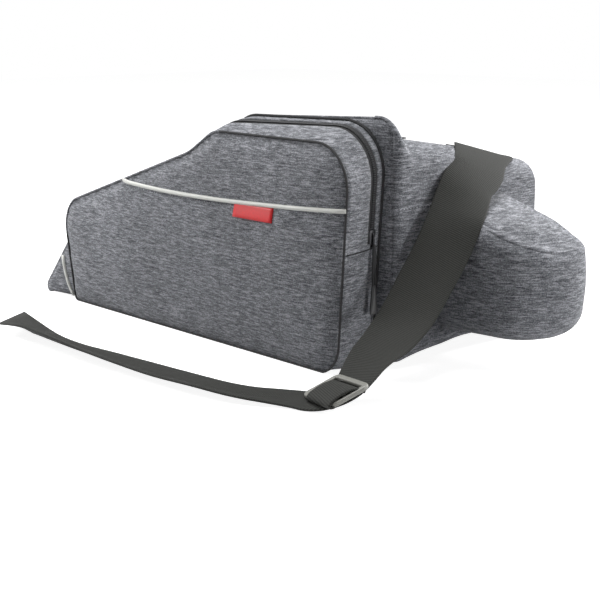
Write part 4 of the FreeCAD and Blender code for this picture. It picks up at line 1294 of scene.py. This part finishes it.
class BAG_OT_round_pocket(PieceOperator, bpy.types.Operator):
    """Makes the round pocket on the rear wall and its flap."""
    bl_idname = "saddle_bag.round_pocket"
    bl_label = "Round pocket"

    FOOT_ROUND = 22
    CAP_Z = 121                      # height of the cap's rim at the rear wall
    CAP_FALL = 31                    # from there to the rim's rear end
    CAP_SWELL = 3.0
    WALL_SWELL = 1.8
    LIP = 16                         # rounding of the top's rim at the sides
    TIGHT_LIP = 5                    # and where it is tightest
    TIGHT_ANGLE = 25

    def plan(self):
        """Points round the pocket from the near side to the far side, with their outward normals."""
        points, normals = [], []
        for x in np.linspace(REAR_X - 0.5, ROUND_CENTRE_X, 10)[:-1]:
            points.append((x, -ROUND_RADIUS))
            normals.append((0, -1))
        for a in np.radians(np.linspace(-90, 90, 41)):
            points.append((ROUND_CENTRE_X + ROUND_RADIUS * math.cos(a), ROUND_RADIUS * math.sin(a)))
            normals.append((math.cos(a), math.sin(a)))
        for x in np.linspace(ROUND_CENTRE_X, REAR_X - 0.5, 10)[1:]:
            points.append((x, ROUND_RADIUS))
            normals.append((0, 1))
        return np.array(points), np.array(normals)

    def lip(self, normal):
        """The rim's rounding: broad at both sides and tight at the rear."""
        away = abs(math.degrees(math.atan2(normal[1], normal[0])) - self.TIGHT_ANGLE)
        return self.TIGHT_LIP + (self.LIP - self.TIGHT_LIP) * min(1.0, away / 35)

    def rim(self, plan, normals, degrees, out=0.0):
        """A row of points on the rim's rounding, which turns from the wall at 0 to the top at 90."""
        a = math.radians(degrees)
        row = []
        for p, n in zip(plan, normals):
            lip = self.lip(n)
            flat = p - n * (lip * (1 - math.cos(a)) - out)
            row.append((*flat, self.top_z(p[0]) - lip * (1 - math.sin(a)) + out))
        return row

    def top_z(self, x):
        return self.CAP_Z - (x - REAR_X) * self.CAP_FALL / (ROUND_CENTRE_X + ROUND_RADIUS - REAR_X)

    def build(self):
        plan, normals = self.plan()
        pairs = list(zip(plan, normals))
        foot_z = ROUND_BOTTOM + self.FOOT_ROUND
        # The bottom from its middle outwards, the rounding of its edge, the wall, then the rim.
        rows = []
        for depth in np.linspace(ROUND_RADIUS - 1, self.FOOT_ROUND, 7):
            rows.append([(*(p - n * depth), ROUND_BOTTOM - 1.5 * (depth / ROUND_RADIUS)) for p, n in pairs])
        for a in np.radians(np.linspace(8, 90, 8)):
            depth = self.FOOT_ROUND * (1 - math.sin(a))
            rows.append([(*(p - n * depth), foot_z - self.FOOT_ROUND * math.cos(a)) for p, n in pairs])
        for share in np.linspace(0.06, 1, 14):
            bulge = self.WALL_SWELL * math.sin(math.pi * share)
            rows.append([(*(p + n * bulge), foot_z + (self.top_z(p[0]) - self.lip(n) - foot_z) * share)
                         for p, n in pairs])
        rows += [self.rim(plan, normals, degrees) for degrees in (15, 30, 45, 60)]
        points = np.array(rows).reshape(-1, 3)
        wave = ripple(points, 48, 31)
        out = points[:, :2] - np.array([ROUND_CENTRE_X, 0])
        out /= np.linalg.norm(out, axis=1)[:, None] + 1e-9
        fade = np.clip((points[:, 0] - REAR_X) / 15, 0, 1)
        points[:, :2] += out * (wave * 0.9 * fade)[:, None]
        wall = cloth("round_pocket_sheet", points, grid_faces(len(rows), len(plan)), "tweed",
                     lambda c: (c[0] / MM - ROUND_CENTRE_X, c[1] / MM, -0.2))
        fasten(wall, "tweed", "round_pocket_wall", "round_pocket_base")
        self.make_cap(plan, normals)

    def make_cap(self, plan, normals):
        rows = [self.rim(plan, normals, 48, 0.1)]
        rows += [self.rim(plan, normals, degrees) for degrees in (60, 75, 90)]
        for share in np.linspace(0, 1, 10)[1:]:
            row = []
            for p, n in zip(plan, normals):
                lip = self.lip(n)
                flat = p - n * (lip + (ROUND_RADIUS - lip) * share)
                fade = min(1.0, max(0.0, (flat[0] - REAR_X) / 14))
                rise = self.CAP_SWELL * math.sin(math.pi / 2 * share) * fade
                row.append((*flat, self.top_z(flat[0]) + rise))
            rows.append(row)
        points = np.array(rows).reshape(-1, 3)
        cap = cloth("round_pocket_cap", points, grid_faces(len(rows), len(plan)), "tweed", (0, 0, 1),
                    weld=0.0001)
        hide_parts("round_pocket_strip", "round_pocket_flap")
        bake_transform(cap)


class BAG_OT_details(PieceOperator, bpy.types.Operator):
    """Makes the lid's slider and puller, the waist's stitches and the nose's piping; dresses the adapter."""
    bl_idname = "saddle_bag.details"
    bl_label = "Details"

    DRESS = {
        "adapter_housing": "plastic", "adapter_hook": "plastic", "adapter_jaw": "plastic", "lever": "plastic",
        "base_board": "plastic", "lever_pin": "steel", "adapter_screws": "steel", "grip_pads": "pads",
        "lid_tape_frame": "binding", "lid_tape_moving": "binding", "strap_anchor": "binding",
    }
    # A short reflective piping crosses the near side of the nose, from its slope down to the foot: x, z.
    NOSE_PIPING = [(-188.6, 37), (-187.6, 30), (-185.4, 22), (-182.8, 15), (-179.6, 9), (-176.5, 4.5),
                   (-173.5, 1.9)]
    # Share of the lid slider's length and of its half width.
    SLIDER_WAIST = [(0, 0.55), (0.12, 0.85), (0.5, 0.68), (0.85, 1.0), (1, 0.85)]

    def build(self):
        for node, material in self.DRESS.items():
            mesh = NODES[node].data
            mesh.materials.clear()
            mesh.materials.append(MATERIALS[material])
        self.make_body_seams()
        self.make_lid_slider()

    def make_body_seams(self):
        waist = [(REAR_X - BAG_OT_body.edge_drop(y) + 0.15, y, WAIST_Z - 2.2) for y in BAG_OT_body.columns()
                 if abs(y) < FAR_Y - 1]
        fasten(stitches("waist_stitches", waist, 0.0006), "binding")
        nose = [(x, NEAR_Y - 0.7, z) for x, z in self.NOSE_PIPING]
        fasten(tube("nose_piping", nose, 1.5, "reflective", sides=10), "reflective")

    def make_lid_slider(self):
        """The lid zip's slider with its bridge, and a slim puller that lies flat behind it."""
        low, high = box_mm("lid_slider")
        x, middle, _ = (low + high) / 2
        half = (high[1] - low[1]) / 2
        side = [(low[0] + (high[0] - low[0]) * share, half * wide) for share, wide in self.SLIDER_WAIST]
        plate = rounded_plate("lid_slider_plate", [self.mirrored(side, middle)], 1.8, 0.5, "zip_metal",
                              low[2])
        arch = [(x - 4.5, middle, low[2] + 1.2), (x - 3.5, middle, high[2] - 0.2), (x, middle, high[2] + 0.4),
                (x + 3.5, middle, high[2] - 0.2), (x + 4.5, middle, low[2] + 1.2)]
        fasten(join(plate, tube("lid_slider_bridge", arch, 0.7, "zip_metal")), "zip_metal", "lid_slider",
               body="lid_slider")
        low, high = box_mm("lid_puller")
        side = [(low[0], 1.6), (low[0] + 3, 2.2), (high[0] - 3, 3), (high[0], 2)]
        hole = rounded_rectangle(low[0] + 1.5, low[0] + 4.5, middle - 1, middle + 1, 0.9)
        puller = rounded_plate("lid_puller_tag", [self.mirrored(side, middle), hole], 1.2, 0.4, "zip_metal",
                               low[2] - 0.6)
        fasten(puller, "zip_metal", "lid_puller", body="lid_puller")

    @staticmethod
    def mirrored(side, middle):
        """An outline from one side's x and half widths, mirrored about the middle."""
        return [(x, middle - y) for x, y in side] + [(x, middle + y) for x, y in reversed(side)]


# ---- panel, registration and main ---------------------------------------------------------------------
OPERATORS = (BAG_OT_stage, BAG_OT_strap, BAG_OT_body, BAG_OT_wedge_pocket, BAG_OT_round_pocket,
             BAG_OT_details)


class BAG_PT_sidebar(bpy.types.Panel):
    bl_label = "Saddle Bag"
    bl_idname = "BAG_PT_sidebar"
    bl_space_type = "VIEW_3D"
    bl_region_type = "UI"
    bl_category = "Saddle Bag"

    def draw(self, context):
        for group in (context.scene.saddle_bag_sizes, context.scene.saddle_bag_colours):
            for name in group.__annotations__:
                self.layout.prop(group, name)
        for operator in OPERATORS:
            self.layout.operator(operator.bl_idname)


CLASSES = (BagSizes, BagColours, *OPERATORS, BAG_PT_sidebar)


def register():
    for item in CLASSES:
        bpy.utils.register_class(item)
    bpy.types.Scene.saddle_bag_sizes = PointerProperty(type=BagSizes)
    bpy.types.Scene.saddle_bag_colours = PointerProperty(type=BagColours)


def unregister():
    del bpy.types.Scene.saddle_bag_colours
    del bpy.types.Scene.saddle_bag_sizes
    for item in reversed(CLASSES):
        bpy.utils.unregister_class(item)


def main():
    register()
    make_materials()
    for operator in OPERATORS:
        group, name = operator.bl_idname.split(".")
        getattr(getattr(bpy.ops, group), name)()


if __name__ == "__main__":
    main()
